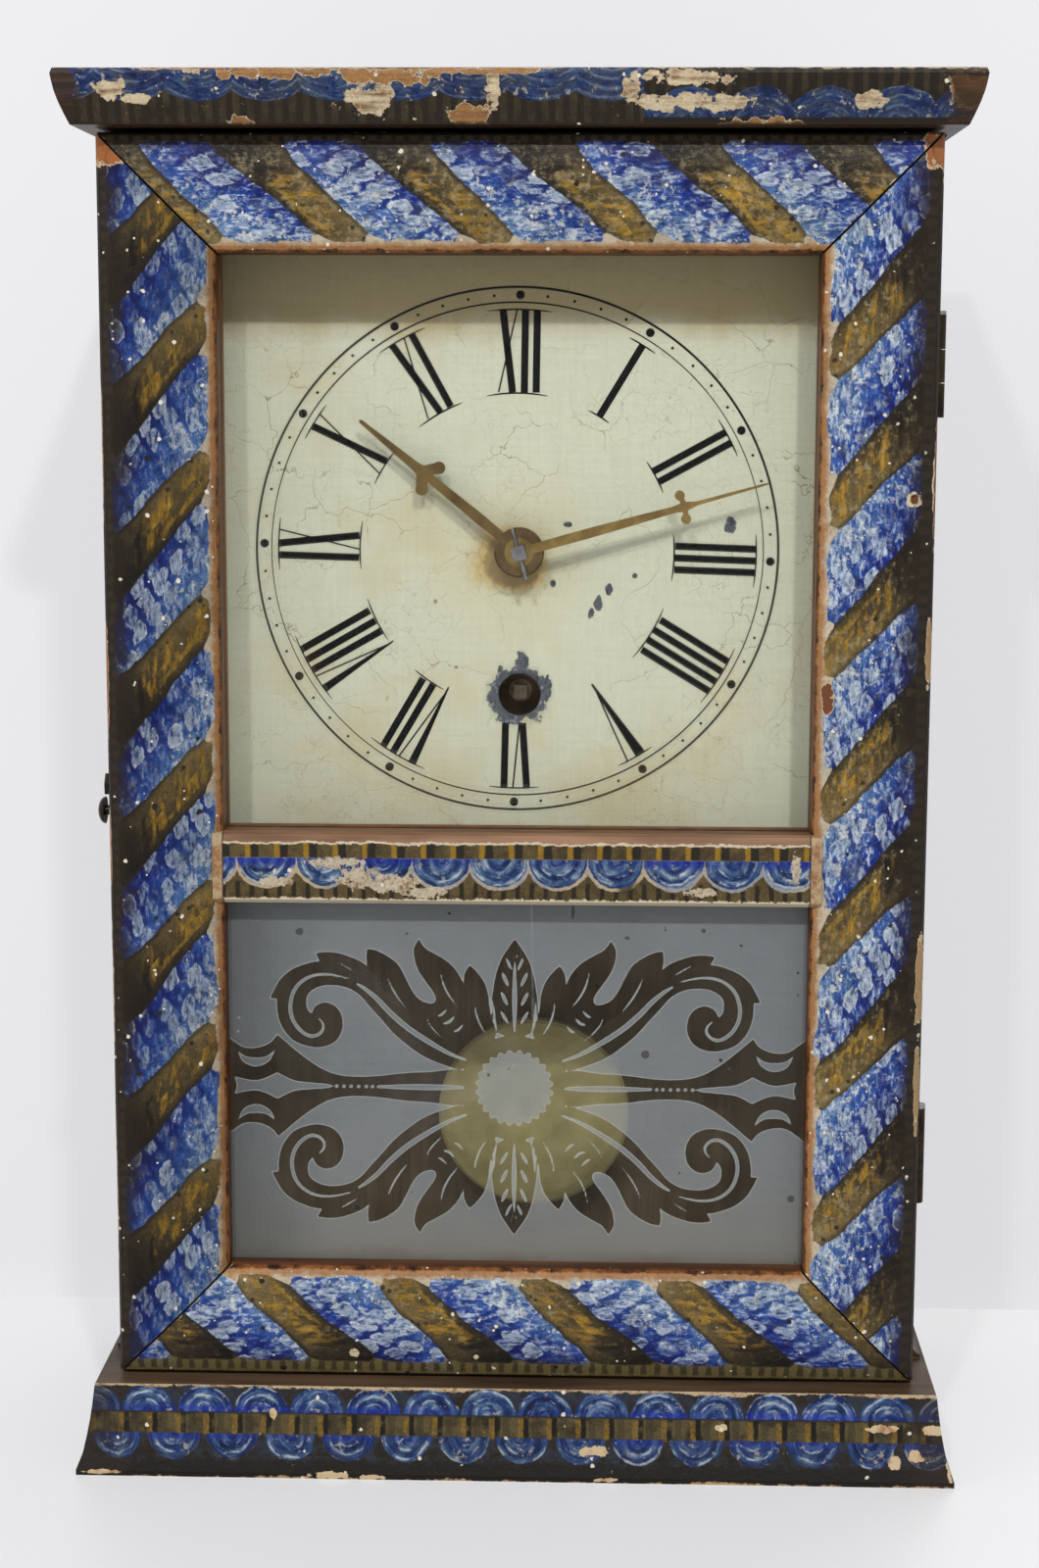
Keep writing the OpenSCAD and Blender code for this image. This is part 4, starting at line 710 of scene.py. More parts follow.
def scallops(f, u, v, first, pitch, radius, seed, arcs=0.15, faded=0.0, tint=0.5):
    """Colour and mask of half circles whose straight sides lie on v = 0 and that reach to v = -radius."""
    fine = f.noise(0.9, 4.0, 0.7, shift=seed + 2)
    cloud = f.noise(3.6, 3.0, shift=seed + 4)
    across = (u - first + f.noise(7.0, 1.0, shift=seed) * 0.6 + cloud * 0.25).over(pitch)
    number = ((u - first) / pitch + 0.5).floor()
    far = (across * across + v * v * 1.06) ** 0.5
    chance = f.lot(number, 3.0)
    wave = (far * 2.45 + cloud * 0.7 + chance * 5.0).wave()
    swirl = f.noise(0.8, 4.0, 0.66, at=f.point(far * 1.4, across * 0.3, number * 3.0))
    tone = wave * arcs + cloud * 0.3 + fine * 0.1 + swirl * 0.4 + (tint - 0.06) + f.lot(number, 8.0) * 0.12
    arc = (far * 3.3 + cloud * 1.8 + chance * 9.0).wave().rise(0.3, 1.0)
    arc = arc * (swirl + cloud + chance * 0.4 - 0.1).rise(-0.1, 0.4)
    bright = (v + cloud * 0.8).rise(-2.6, -0.4) * (chance + swirl * 0.6).rise(0.0, 0.8)
    shade = f.stack(
        f.ramp(
            tone, (0.0, (14, 20, 38)), (0.28, (26, 42, 86)), (0.5, (48, 72, 112)),
            (0.72, (94, 116, 142)), (1.0, (186, 194, 196)),
        ),
        ((50, 52, 54), (cloud + fine * 0.5).rise(-0.5, 0.7) * faded),
        ((176, 184, 190), arc * (v + radius * 0.2).rise(0.3, -1.2) * arcs * 5.0),
        ((24, 40, 150), bright * (1.0 - faded) * 0.6),
        ((178, 170, 152), f.noise(1.8, 4.0, 0.62, shift=seed + 6).rise(0.3, 0.5) * 0.55),
        ((14, 13, 16), f.noise(1.5, 5.0, 0.7, shift=seed + 7).rise(0.15, 0.6) * 0.75),
    )
    return shade, far - radius + fine * 0.2 + cloud * 0.25, cloud, fine


def ticks(f, u, first, pitch, half, seed):
    """Upright brush marks at a steady pitch, with uneven width."""
    shake = f.noise(2.6, 2.0, shift=seed) * 0.22
    return abs((u - first + shake).over(pitch)).rise(half + 0.18, half - 0.18)


print("half circles and ticks ready")

# %% [markdown]
# ## Cross rail
# The rail between the two windows has one row of half circles under a line, with ticks above and
# below, and its ends run into the worn inner edges of the stiles. It could share the base's function,
# but each of its bands is another one, so it is painted by itself from the same two parts.

# %% Cross rail
CROSS_LAP, CROSS_TICKS = 2.4, 6.4
CROSS_FOOT, CROSS_LINE, CROSS_LIP = 129.5, 138.4, 142.0
f = Finish("paint_cross_rail", (62, 52, 34), Specular_IOR_Level=PAINT_GLOSS)
shade, edge, cloud, fine = scallops(f, f.x, f.z - CROSS_LINE, 9.0, 12.72, 6.3, 71.0)
ragged = f.noise(1.3, 4.0, 0.65, shift=75.0)
f.lay((104, 88, 54), (cloud * 0.5 + fine * 0.3 + 0.15).rise(-0.3, 0.8))
above = f.z.rise(CROSS_LINE - 0.4, CROSS_LINE + 0.4)
f.lay((38, 34, 27), ticks(f, f.x, 0.6, CROSS_TICKS, 0.85, 78.0) * above * 0.95)
f.lay((146, 112, 34), ticks(f, f.x, -1.0, CROSS_TICKS, 0.55, 79.0) * above * 0.9)
f.lay((38, 34, 26), ticks(f, f.x, 0.4, 3.06, 0.5, 81.0) * f.z.rise(133.6, 132.9) * 0.95)
below = (f.z - CROSS_LINE - 0.1 + fine * 0.15).rise(0.15, -0.15)
rim_shade = f.mix((178, 158, 128), (140, 142, 146), (f.noise(20.0, 2.0, shift=80.0) + 0.1).rise(-0.3, 0.4))
rim = (edge - 0.75 - ragged * 0.3).rise(0.12, -0.12) * (f.noise(9.0, 1.0, shift=82.0) + 0.45).rise(-0.2, 0.2)
f.lay(rim_shade, rim * below)
f.lay(shade, edge.rise(0.12, -0.12) * below)
worn_left = f.spots([
    (-39.5, 137.5, 5.5, 1.2), (-34.5, 134.2, 4.0, 2.4), (-27.0, 133.0, 6.0, 1.9), (-53.0, 133.2, 4.0, 1.0),
    (-20.0, 131.0, 5.0, 1.2), (40.0, 131.5, 3.0, 1.0), (60.8, 137.0, 1.0, 3.0),
], ragged * 1.7)
f.lay(f.mix(CREAM, (136, 108, 78), (fine + cloud * 0.5).rise(-0.1, 0.6)), worn_left * 0.9)
f.grade(f.noise(0.5, 3.0, 0.7, shift=83.0) - 0.3, 0.35)
lip = f.z - CROSS_LIP + ragged * 0.5 + f.noise(8.0, 2.0, shift=84.0) * 0.4
f.lay(CREAM, (f.z - CROSS_FOOT + ragged * 0.7).rise(0.25, -0.1))
f.lay(CREAM, lip.rise(-0.55, -0.3))
lip_grain = f.noise(5.0, 3.0, stretch=(0.12, 1, 1)).rise(-0.6, 0.6)
f.lay(f.mix((104, 72, 50), (148, 112, 84), lip_grain), lip.rise(-0.05, 0.15))
stile_edge = abs(f.x + 0.1) + ragged * 0.25 - (cross_high[0] - CROSS_LAP)
end_wood = f.mix((168, 146, 114), (138, 98, 64), (ragged + cloud * 0.5).rise(-0.4, 0.4))
f.lay(end_wood, stile_edge.rise(-0.1, 0.1))
f.lay(SOOT, abs(stile_edge).rise(0.22, 0.1) * 0.8)
specks(f, 3.4, 0.14, SPECK, 90.0)
plank = f.noise(1.4, 4.0, 0.6, stretch=(0.07, 1.0, 1.0))
f.lay(f.mix((78, 50, 34), (122, 86, 60), (plank + fine * 0.2).rise(-0.5, 0.5)), f.facing(1).rise(-0.25, -0.1))
dress(f.done(fine * 0.06 + 0.42, fine * 0.2 + edge.rise(0.4, -0.4) * 0.3 + ragged * 0.1, 0.09), "door_cross_rail")
print("cross rail painted")

# %% [markdown]
# ## Base
# On the base the half circles stand and hang about a band of ticks, over a dark foot that rubbed
# down to the ground along its lowest edge. The front and the two returns are mitred lengths of one
# moulding: they share a function, and only the direction that runs along them changes.

# %% Base moulding
BAND_LOW, BAND_HIGH = 9.3, 13.9
BASE_TICKS = 6.37


def base_paint(name, along, losses, seed):
    """Standing half circles, a band of ochre ticks, and hanging half circles over a dark foot."""
    f = Finish(name, (40, 34, 25), Specular_IOR_Level=PAINT_GLOSS)
    u = along(f)
    ragged = f.noise(1.5, 5.0, 0.7, shift=seed + 9)
    tall, edge_a, cloud, fine = scallops(f, u, BAND_HIGH - f.z, 6.9, 12.65, 6.1, seed, arcs=0.13, tint=0.44)
    low, edge_b, _, _ = scallops(f, u, f.z - BAND_LOW, 1.9, 12.9, 5.7, seed + 30, arcs=0.12, faded=0.45, tint=0.4)
    f.lay((26, 22, 18), (f.z + cloud).rise(6.5, 3.0))
    blue_foot = (f.z + cloud * 2.0 + fine).rise(3.2, 6.0)
    f.lay((44, 50, 62), blue_foot * (cloud + fine * 0.5 + 0.2).rise(-0.2, 0.5) * 0.8)
    ground = f.mix((84, 73, 46), (42, 35, 24), (cloud + fine * 0.3).rise(-0.3, 0.7))
    f.lay(ground, (f.z + fine * 0.2).rise(9.2, 9.5) * f.z.rise(14.1, 13.8))
    band = f.z.rise(BAND_LOW - 0.1, BAND_LOW + 0.3) * f.z.rise(BAND_HIGH + 0.1, BAND_HIGH - 0.3)
    f.lay(OLIVE_DARK, ticks(f, u, -46.2, BASE_TICKS, 0.8, seed + 5) * band * 0.6)
    f.lay((26, 23, 18), ticks(f, u, -48.2, BASE_TICKS, 0.6, seed + 6) * band * (cloud + 0.5).rise(-0.2, 0.4))
    ochre_tick = ticks(f, u, -49.4, BASE_TICKS, 0.6, seed + 7) * (f.z + ragged * 0.4).rise(8.6, 9.3)
    f.lay((128, 98, 36), ochre_tick * f.z.rise(13.6, 13.1) * (fine + 0.4).rise(-0.2, 0.7) * 0.75)
    f.lay(low, edge_b.rise(0.15, -0.15) * (f.z + fine * 0.2).rise(9.4, 9.1))
    f.lay(tall, edge_a.rise(0.15, -0.15) * f.z.rise(13.8, 14.1))
    f.lay(SOOT, abs(f.z - BAND_HIGH).rise(0.35, 0.1) * 0.7)
    f.grade(f.noise(0.5, 3.0, 0.7, shift=seed + 11), 0.4)
    worn_end = (abs(u) - 84.0 + cloud * 5.0 + ragged * 3.0).rise(0.0, 9.0) * 0.75
    f.lay((40, 33, 25), worn_end)
    torn = (ragged * 0.5 + f.noise(2.2, 3.0, 0.55, shift=seed + 21)) * 1.4
    f.lay(f.mix((196, 172, 136), (146, 104, 68), cloud.rise(0.0, 0.8)), f.spots(losses, torn, (u, f.z)))
    flakes = f.noise(2.4, 5.0, 0.74, shift=seed + 13).rise(0.56, 0.6)
    f.lay((186, 160, 124), flakes * (abs(f.z - 9.0).rise(5.0, 2.0) + 0.4).low(1.0))
    brim = f.z - base_high[2] + ragged * 0.7 + f.noise(9.0, 2.0, shift=seed + 4) * 0.8 + 0.5
    f.lay(f.mix((186, 164, 130), (132, 96, 64), (ragged + cloud * 0.5).rise(0.0, 0.5)), brim.rise(-0.1, 0.1) * 0.9)
    f.lay((74, 54, 40), (f.z - base_high[2]).rise(0.05, 0.1))
    f.lay((176, 146, 110), (f.z + ragged * 0.75 + f.noise(16.0, 2.0, shift=seed + 2) * 0.9).rise(0.35, -0.15))
    specks(f, 3.2, 0.16, SPECK, seed + 3)
    dust = f.noise(6.0, 4.0, stretch=(0.15, 1, 1)).rise(-0.6, 0.7)
    f.lay(f.mix((60, 46, 36), (96, 76, 58), dust), f.facing(2).rise(0.75, 0.9))
    return f.done(fine * 0.06 + 0.36, fine * 0.2 + ragged * 0.12, 0.13)


dress(base_paint("paint_base_front", lambda f: f.x, [
    (46.0, 12.2, 1.3, 0.8), (81.6, 12.3, 3.2, 0.8), (93.0, 12.0, 3.0, 1.0), (84.5, 5.0, 1.3, 1.2),
    (89.0, 6.4, 1.6, 1.4), (96.5, 5.0, 0.8, 3.0), (18.0, 6.5, 2.6, 1.2), (-41.0, 0.8, 4.5, 0.8),
    (-31.5, 0.5, 2.4, 0.6), (-53.6, 13.6, 0.8, 1.2), (-92.0, 0.9, 4.0, 0.5), (21.0, 0.7, 3.0, 0.5),
], 101.0), "base_front")
dress(base_paint("paint_base_sides", lambda f: f.y, [
    (-20.0, 0.8, 4.0, 0.8), (30.0, 12.0, 2.0, 0.8),
], 131.0), "base_left", "base_right")

print("base painted")

# %% [markdown]
# ## Cornice
# The cornice lost the most paint, perhaps because the clock was lifted by it. Left of one point its
# half circles hang from the top, and right of it they stand on the lower edge. Two boards would need
# a seam, so both rows are made on one and a soft step chooses between them. The large losses are
# listed one by one, and the small ones are noise.

# %% Cornice moulding
CORNICE_PITCH = 14.2


def cornice_paint(name, along, split, losses, seed):
    """Hanging half circles over ticks on the left of the split, standing ones under ticks on its right."""
    f = Finish(name, (40, 34, 25), Specular_IOR_Level=PAINT_GLOSS)
    u = along(f)
    v = f.z - cornice_low[2]
    ragged = f.noise(2.0, 6.0, 0.74, shift=seed + 9)
    torn = f.noise(2.6, 3.0, 0.55, shift=seed + 21) + ragged * 0.25
    grain = f.noise(1.4, 4.0, 0.6, at=f.point(u * 0.08, v, seed))
    side = (u - split + ragged * 0.5).rise(-0.2, 0.2)
    old = {"arcs": 0.03, "faded": 0.8, "tint": 0.36}
    hang, edge_a, cloud, fine = scallops(f, u, v - 17.8, -9.0, CORNICE_PITCH, 13.6, seed, **old)
    stand, edge_b, _, _ = scallops(f, u, -1.5 - v, 50.0, CORNICE_PITCH, 9.2, seed + 30, **old)
    patchy = (cloud + 0.6).low(1.0).high(0.0)
    left = f.mix((38, 32, 24), (60, 51, 35), ticks(f, u, 0.0, 2.9, 0.75, seed + 5) * patchy)
    left = f.mix(left, hang, edge_a.rise(0.2, -0.2))
    low_ticks = ticks(f, u, 0.0, 3.1, 0.6, seed + 6) * v.rise(5.0, 7.0)
    right = f.mix((34, 29, 22), (56, 47, 33), low_ticks * patchy)
    right = f.mix(right, stand, edge_b.rise(0.2, -0.2) * v.rise(1.2, 1.7))
    f.lay(f.mix(left, right, side), 1.0)
    torn_wide, weathered = torn * 1.8, (grain + cloud * 0.6).rise(-0.3, 0.7)
    for shade, places in losses:
        f.lay((176, 158, 130), f.spots(places, torn_wide, (u, f.z), reach_to=0.95))
        f.lay(f.mix(shade, (118, 84, 54), weathered), f.spots(places, torn_wide, (u, f.z), reach_to=0.7))
    f.lay((190, 168, 134), f.noise(2.6, 5.0, 0.74, shift=seed + 13).rise(0.5, 0.56))
    f.grade(f.noise(0.5, 3.0, 0.7, shift=seed + 14), 0.4)
    worn_end = (abs(u + 1.5) - 88.0 + cloud * 3.0 + ragged * 2.0).rise(0.0, 3.0)
    f.lay(f.mix((46, 34, 24), (84, 56, 36), grain.rise(-0.2, 0.8)), worn_end * 0.92)
    crumble = f.noise(22.0, 2.0, shift=seed + 12) * 1.1 + torn * 0.6
    f.lay((166, 148, 120), (v + crumble).rise(10.9, 11.1) * f.noise(9.0, 2.0, shift=seed + 40).rise(-0.2, 0.1))
    f.lay(f.mix((104, 72, 42), (146, 102, 60), grain.rise(-0.4, 0.6)), (v + crumble).rise(11.2, 11.4))
    f.lay((22, 17, 13), (v + fine * 0.2).rise(12.6, 13.0) * 0.7)
    f.lay((40, 28, 20), (v + crumble * 0.6).rise(0.9, 0.1) * 0.9)
    specks(f, 3.0, 0.14, SPECK, seed + 3)
    dust = f.noise(7.0, 4.0, stretch=(0.12, 1, 1)).rise(-0.6, 0.7)
    f.lay(f.mix((48, 33, 24), (84, 62, 46), dust), abs(f.facing(2)).rise(0.75, 0.9))
    return f.done(fine * 0.06 + 0.38, fine * 0.2 + ragged * 0.2, 0.15)


dress(cornice_paint("paint_cornice_front", lambda f: f.x, 26.0, [
    ((148, 108, 66), [
        (-50.0, 304.2, 16.0, 1.5), (-26.0, 303.6, 10.0, 2.2), (-8.0, 304.6, 16.0, 0.9), (-9.5, 295.6, 4.5, 2.4),
        (-57.0, 294.4, 3.0, 1.4), (92.5, 301.0, 4.0, 4.0), (50.0, 294.0, 9.0, 1.3),
    ]),
    ((194, 178, 146), [
        (34.5, 303.0, 8.5, 1.5), (36.0, 298.2, 12.5, 1.7), (-84.0, 300.6, 3.5, 2.0), (-79.0, 299.0, 3.0, 1.0),
        (-30.0, 298.8, 5.0, 2.6), (23.5, 300.5, 1.8, 3.6), (-5.0, 300.5, 1.4, 2.8), (72.5, 298.5, 3.0, 1.6),
    ]),
], 161.0), "cornice_front")
dress(cornice_paint("paint_cornice_sides", lambda f: f.y, 10.0, [
    ((152, 102, 58), [(-28.0, 303.8, 9.0, 1.6), (20.0, 295.2, 6.0, 1.6)]),
    ((194, 178, 146), [(25.0, 300.0, 6.0, 1.8)]),
], 191.0), "cornice_left", "cornice_right")
print("cornice painted")

# %% [markdown]
# ## Wood
# The case is stained nearly black and worn through in places; the inside stays bare pine, browned by
# age. Year rings cut through a log would also be right on the boards' ends, but no end shows. Noise
# stretched along the board gives the grain at once, and a finer one gives its pores.

# %% Stained and bare wood


def wood(name, dark, light, grain, rough, worn=None):
    """Stretched noise, with its long way along the grain, and fine pores on top."""
    f = Finish(name, dark, Specular_IOR_Level=0.2)
    thin = {"z": (1.0, 1.0, 0.06), "x": (0.06, 1.0, 1.0), "y": (1.0, 0.06, 1.0)}[grain]
    bands = f.noise(3.4, 4.0, 0.6, stretch=thin)
    pores = f.noise(0.5, 3.0, 0.7, stretch=thin)
    f.lay(light, (bands * 0.6 + pores * 0.25 + 0.45).rise(0.0, 1.0))
    f.grade(f.noise(35.0, 3.0), 0.12)
    if worn:
        f.lay(worn, f.noise(12.0, 5.0, 0.7).rise(0.55, 0.9) * 0.8)
    specks(f, 5.0, 0.1, SOOT, 7.0)
    return f.done(pores * 0.05 + rough, bands * 0.3 + pores * 0.5, 0.08)


dress(wood("stained_sides", (38, 26, 20), (72, 48, 34), "z", 0.5, (108, 72, 48)), "left_side", "right_side")
dress(wood("stained_top", (48, 34, 26), (84, 60, 44), "x", 0.6, (118, 84, 60)), "top_board")
dress(wood("old_pine_upright", (84, 66, 48), (122, 100, 74), "z", 0.7), "back_board", "glue_blocks")
dress(wood("old_pine_level", (78, 62, 46), (116, 94, 70), "x", 0.7),
      "bottom_board", "dial_rails", "movement_rails")
dress(wood("glazing_strips", (86, 54, 34), (128, 86, 54), "z", 0.6), "glass_strips")
print("wood done")

# %% [markdown]
# ## Metal
# Old brass is never one colour: it browns in clouds and stays bright where it is rubbed. Steel goes
# grey with freckles of rust. Each wheel could have a finish of its own, but the dial hides them. One
# function makes all metals from two shades and a tarnish, and the parts that the eye compares, such
# as the hands, the bob and the winding square, have shades to themselves.

# %% Brass and steel


def metal(name, bright, dull, rough, freckle=None, metallic=0.9):
    """Two shades mixed by cloudy noise, with fine scratches in the roughness."""
    f = Finish(name, bright, Metallic=metallic)
    cloud = f.noise(6.0, 4.0, 0.6)
    scratch = f.noise(0.35, 2.0, 0.6)
    f.lay(dull, (cloud + scratch * 0.2).rise(-0.7, 0.6))
    if freckle:
        f.lay(freckle, f.noise(1.6, 4.0, 0.7, shift=5.0).rise(0.5, 0.95) * 0.7)
    return f.done(cloud * 0.08 + scratch * 0.05 + rough, scratch, 0.012)


# The plates get a far darker brass than the wheels: tarnish, and painted shade for the dark behind the dial.
dress(metal("plate_brass_tarnish_and_shade", (70, 54, 30), (38, 29, 19), 0.45), "front_plate", "back_plate")
dress(metal("aged_brass", (172, 142, 82), (120, 96, 52), 0.38),
      "pillars", "center_wheel", "hour_wheel", "minute_wheel", "great_wheel", "click",
      "ratchet_wheel", "third_wheel", "escape_wheel", "suspension_cock", "rating_nut")
dress(metal("hinge_brass", (62, 50, 32), (34, 27, 20), 0.5), "hinge_case_leaves", "hinge_door_leaves")
# The bob is a pale brass, lighter than the wheels and hardly metallic: painted light for the light that reaches it
# through the lower pane.
dress(metal("bob_brass_painted_light", (236, 224, 158), (210, 196, 128), 0.5, metallic=0.2), "bob")
dress(metal("old_steel", (150, 150, 148), (92, 92, 92), 0.38, (96, 62, 38)),
      "hinge_pins", "latch_screw", "dial_nails", "movement_screws", "pillar_pins", "mainspring", "center_arbor",
      "click_spring", "third_arbor", "escape_arbor", "verge", "crutch", "suspension_spring", "pendulum_rod",
      "hand_pin")
dress(metal("winding_steel", (108, 96, 80), (60, 49, 38), 0.4, (60, 38, 24)), "winding_arbor")
dress(metal("black_iron", (26, 26, 24), (44, 40, 34), 0.3, (60, 42, 30)), "latch_pin", "latch_hook")
dress(metal("hour_hand_brass", (120, 100, 62), (86, 70, 44), 0.4), "hour_hand")
dress(metal("minute_hand_brass", (150, 126, 76), (112, 92, 54), 0.4), "minute_hand")
dress(metal("collet_brass", (116, 98, 66), (78, 66, 46), 0.36), "hand_collet")
print("metal done")

# %% [markdown]
# ## Dial
# The dial is zinc under cream paint. Its paint has yellowed, crazed into hair cracks, and flaked off
# round the winding hole. Cut into the mesh, cracks thinner than a hair would cost thousands of
# faces. The borders between Voronoi cells are one long web of cracks already, bent by a slow noise.
# Stains are distances from the hub and a band of painted shade darkens the top; bare zinc is a
# distance from the hole, torn by noise, with painted highlights on it.

# %% Dial paint
RING_AT = np.array([-0.7, 203.9])
ZINC = (88, 93, 98)
f = Finish("dial_paint", (196, 198, 174), Specular_IOR_Level=0.15)
cloud = f.noise(26.0, 4.0, 0.6)
fine = f.noise(1.2, 4.0, 0.65)
f.lay((186, 174, 130), (cloud + fine * 0.2).rise(-0.1, 0.7) * 0.6)
f.lay((202, 204, 184), f.noise(40.0, 3.0, shift=9.0).rise(0.1, 0.9) * 0.6)
# Darker and yellower along the top: yellowed paint, and painted shade that deepens the frame's shadow there.
f.lay((140, 116, 62), (f.z - hub[1] + cloud * 3.0 + fine).rise(44.0, 53.0) * 0.72)
f.grade(fine, 0.05)
level_wipe = f.noise(0.7, 3.0, 0.6, stretch=(0.04, 1.0, 1.0), shift=3.0)
f.grade(level_wipe + f.noise(0.7, 3.0, 0.6, stretch=(1.0, 1.0, 0.04), shift=8.0), 0.045)
from_hub = ((f.x + 1.7) ** 2.0 + (f.z - (hub[1] - 2.4)) ** 2.0) ** 0.5
f.lay((176, 140, 60), (from_hub - cloud * 5.0 - fine * 1.2).rise(11.5, 6.0) * 0.7)
f.lay((182, 132, 50), (from_hub - cloud * 3.0 - fine * 1.6).rise(8.8, 6.8) * 0.6)
f.lay((92, 54, 18), (from_hub - cloud * 1.6 - fine * 1.2).rise(7.0, 5.8) * 0.85)
f.lay((196, 186, 140), (from_hub - cloud * 4.0).rise(24.0, 6.0) * 0.35)
drift = f.node("ShaderNodeTexNoise", {}, {"Vector": f.at, "Scale": 0.16, "Detail": 3.0}, out="Color")
warp = f.node("ShaderNodeVectorMath", {"operation": "SCALE"}, {0: drift, "Scale": 9.0})
bent = f.node("ShaderNodeVectorMath", {"operation": "ADD"}, [f.at, warp])
crack = f.cells(15.0, at=bent, feature="DISTANCE_TO_EDGE")
f.lay((138, 124, 92), crack.rise(0.008, 0.001) * f.noise(18.0, 2.0, shift=4.0).rise(-0.2, 0.3) * 0.8)
hair = f.cells(5.0, at=bent, feature="DISTANCE_TO_EDGE")
f.lay((160, 150, 118), hair.rise(0.014, 0.003) * f.noise(22.0, 2.0, shift=14.0).rise(-0.2, 0.3) * 0.6)
scratch = f.noise(0.5, 3.0, 0.7, stretch=(1.0, 1.0, 0.05)).high(f.noise(0.5, 3.0, 0.7, stretch=(0.05, 1.0, 1.0)))
f.lay((164, 156, 122), scratch.rise(0.55, 1.0) * 0.5)
FLAKED_TO = 6.6
ragged = f.noise(2.2, 4.0, 0.65, shift=2.0)
from_wind = ((f.x + 0.2) ** 2.0 + (f.z - wind[1] + 0.2) ** 2.0) ** 0.5
flaked = (from_wind - ragged * 2.3 - f.noise(6.0, 1.0, shift=31.0) * 1.1).rise(FLAKED_TO, FLAKED_TO - 0.25)
flaked = flaked.high(f.spots([
    (0.5, wind[1] + 7.4, 1.5, 2.4), (5.6, wind[1] + 1.4, 1.9, 2.6), (-4.3, wind[1] + 5.0, 0.6, 1.4),
], ragged * 1.6))
flaked = flaked.high(f.spots([
    (7.4, 196.9, 0.6, 0.8), (17.4, 192.6, 1.0, 1.7), (15.9, 190.4, 0.85, 1.2), (19.8, 195.7, 0.75, 1.3),
    (25.4, 198.7, 0.6, 0.6), (46.4, 209.9, 1.3, 1.9), (10.6, 210.0, 0.9, 0.6),
], ragged * 1.3))
f.lay((120, 116, 92), (from_wind - ragged * 1.4).rise(8.4, 6.4) * 0.25)
f.lay(f.mix(ZINC, (50, 53, 58), (fine + ragged * 0.5).rise(-0.3, 0.5)), flaked)
# Pale grey patches on the bare zinc: painted highlights.
f.lay((146, 150, 154), flaked * (ragged + fine * 0.7).rise(0.3, 0.45) * 0.7)
f.lay((122, 106, 74), f.spots([(-18.8, 192.8, 0.45, 0.5), (-14.2, 178.1, 0.4, 0.4)], ragged * 0.3) * 0.8)
dress(f.done(fine * 0.05 + 0.46, 0.0 - flaked * 0.8 - crack.rise(0.02, 0.0) * 0.4 + fine * 0.05, 0.1), "dial")
print("dial painted, flaked to", FLAKED_TO, "mm from the middle of the winding hole")

# %% [markdown]
# ## Drawing on the dial
# Numerals and rings are ink, with edges that stay crisp however near the camera comes. A texture
# would blur and a shader with forty strokes would be slow, so each stroke is a flat ribbon of quads.
# Every numeral stands on its own radius and is turned a little, as it was drawn by hand.

# %% Ribbons for rings, dots and strokes


def ribbon(points, widths):
    """A flat band along a path on the dial: each point is moved half a width to either side of it."""
    points = np.asarray(points, float)
    way = np.gradient(points, axis=0)
    way /= np.linalg.norm(way, axis=1)[:, None]
    side = np.stack([-way[:, 1], way[:, 0]], 1) * (np.asarray(widths, float) / 2)[:, None]
    return points + side, points - side


def on_ring(radius, degrees):
    """Points at clock angles, measured clockwise from twelve."""
    a = np.radians(degrees)
    return RING_AT + np.stack([np.sin(a), np.cos(a)], -1) * np.asarray(radius)[..., None]


print("middle of the rings", RING_AT)

# %% Strokes and serifs
DIAL_TURNS = np.array([0.65, 1.2, 1.4, 1.9, 1.4, -0.3, 0.5, 0.5, 0.1, 1.7, 2.6, 1.3])
INNER_R, OUTER_R, THICK, THIN = 35.0, 52.8, 1.6, 0.36
PITCH_I, WIDE_X, WIDE_V = 2.6, 4.9, 4.6
bands = []


def stroke(turn, t_out, t_in, width, r_out=OUTER_R, r_in=INNER_R, taper=1.0):
    """One stroke of a numeral, from (t_out, r_out) to (t_in, r_in) in the numeral's own upright frame."""
    a = math.radians(turn)
    outward, clockwise = np.array([math.sin(a), math.cos(a)]), np.array([math.cos(a), -math.sin(a)])
    steps = np.linspace(0, 1, 7)[:, None]
    start, end = outward * r_out + clockwise * t_out, outward * r_in + clockwise * t_in
    path = RING_AT + start + (end - start) * steps
    bands.append(ribbon(path, width * np.linspace(1.0, taper, 7)))


def serif(turn, low, high, radius):
    """A thin arc that closes the strokes' ends."""
    reach = np.degrees(np.array([low, high]) / radius)
    path = on_ring(np.full(9, radius), turn + np.linspace(reach[0], reach[1], 9))
    bands.append(ribbon(path, np.interp(np.linspace(0, 1, 9), [0, 0.2, 0.8, 1], [0.14, THIN, THIN, 0.14])))


print("a numeral reaches from", INNER_R, "to", OUTER_R, "mm")

# %% Twelve numerals and two rings


def numeral(turn, letters):
    """Lays the letters side by side about the numeral's middle, thick strokes down to the right."""
    widths = [{"I": PITCH_I, "X": WIDE_X, "V": WIDE_V}[c] for c in letters]
    place = -sum(widths) / 2
    feet = []
    for letter, width in zip(letters, widths):
        middle = place + width / 2
        if letter == "I":
            stroke(turn, middle, middle, THICK)
            feet.append(middle)
        elif letter == "X":
            stroke(turn, middle - 1.15, middle + 1.15, THICK)
            stroke(turn, middle + 1.9, middle - 1.9, THIN)
            feet += [middle - 1.9, middle + 1.9]
        else:
            heavy = THICK * (1.15 if len(letters) > 1 else 1.5)
            stroke(turn, middle - 1.3, middle + 0.3, heavy, r_in=33.8, taper=0.2)
            stroke(turn, middle + 2.0, middle + 0.3, THIN, r_in=36.0)
        place += width
    total = sum(widths) / 2
    serif(turn, -total - 2.0, total + 2.0, OUTER_R + 0.15)
    if feet:
        serif(turn, min(feet) - 2.6, max(feet) + 2.6, INNER_R - 0.15)


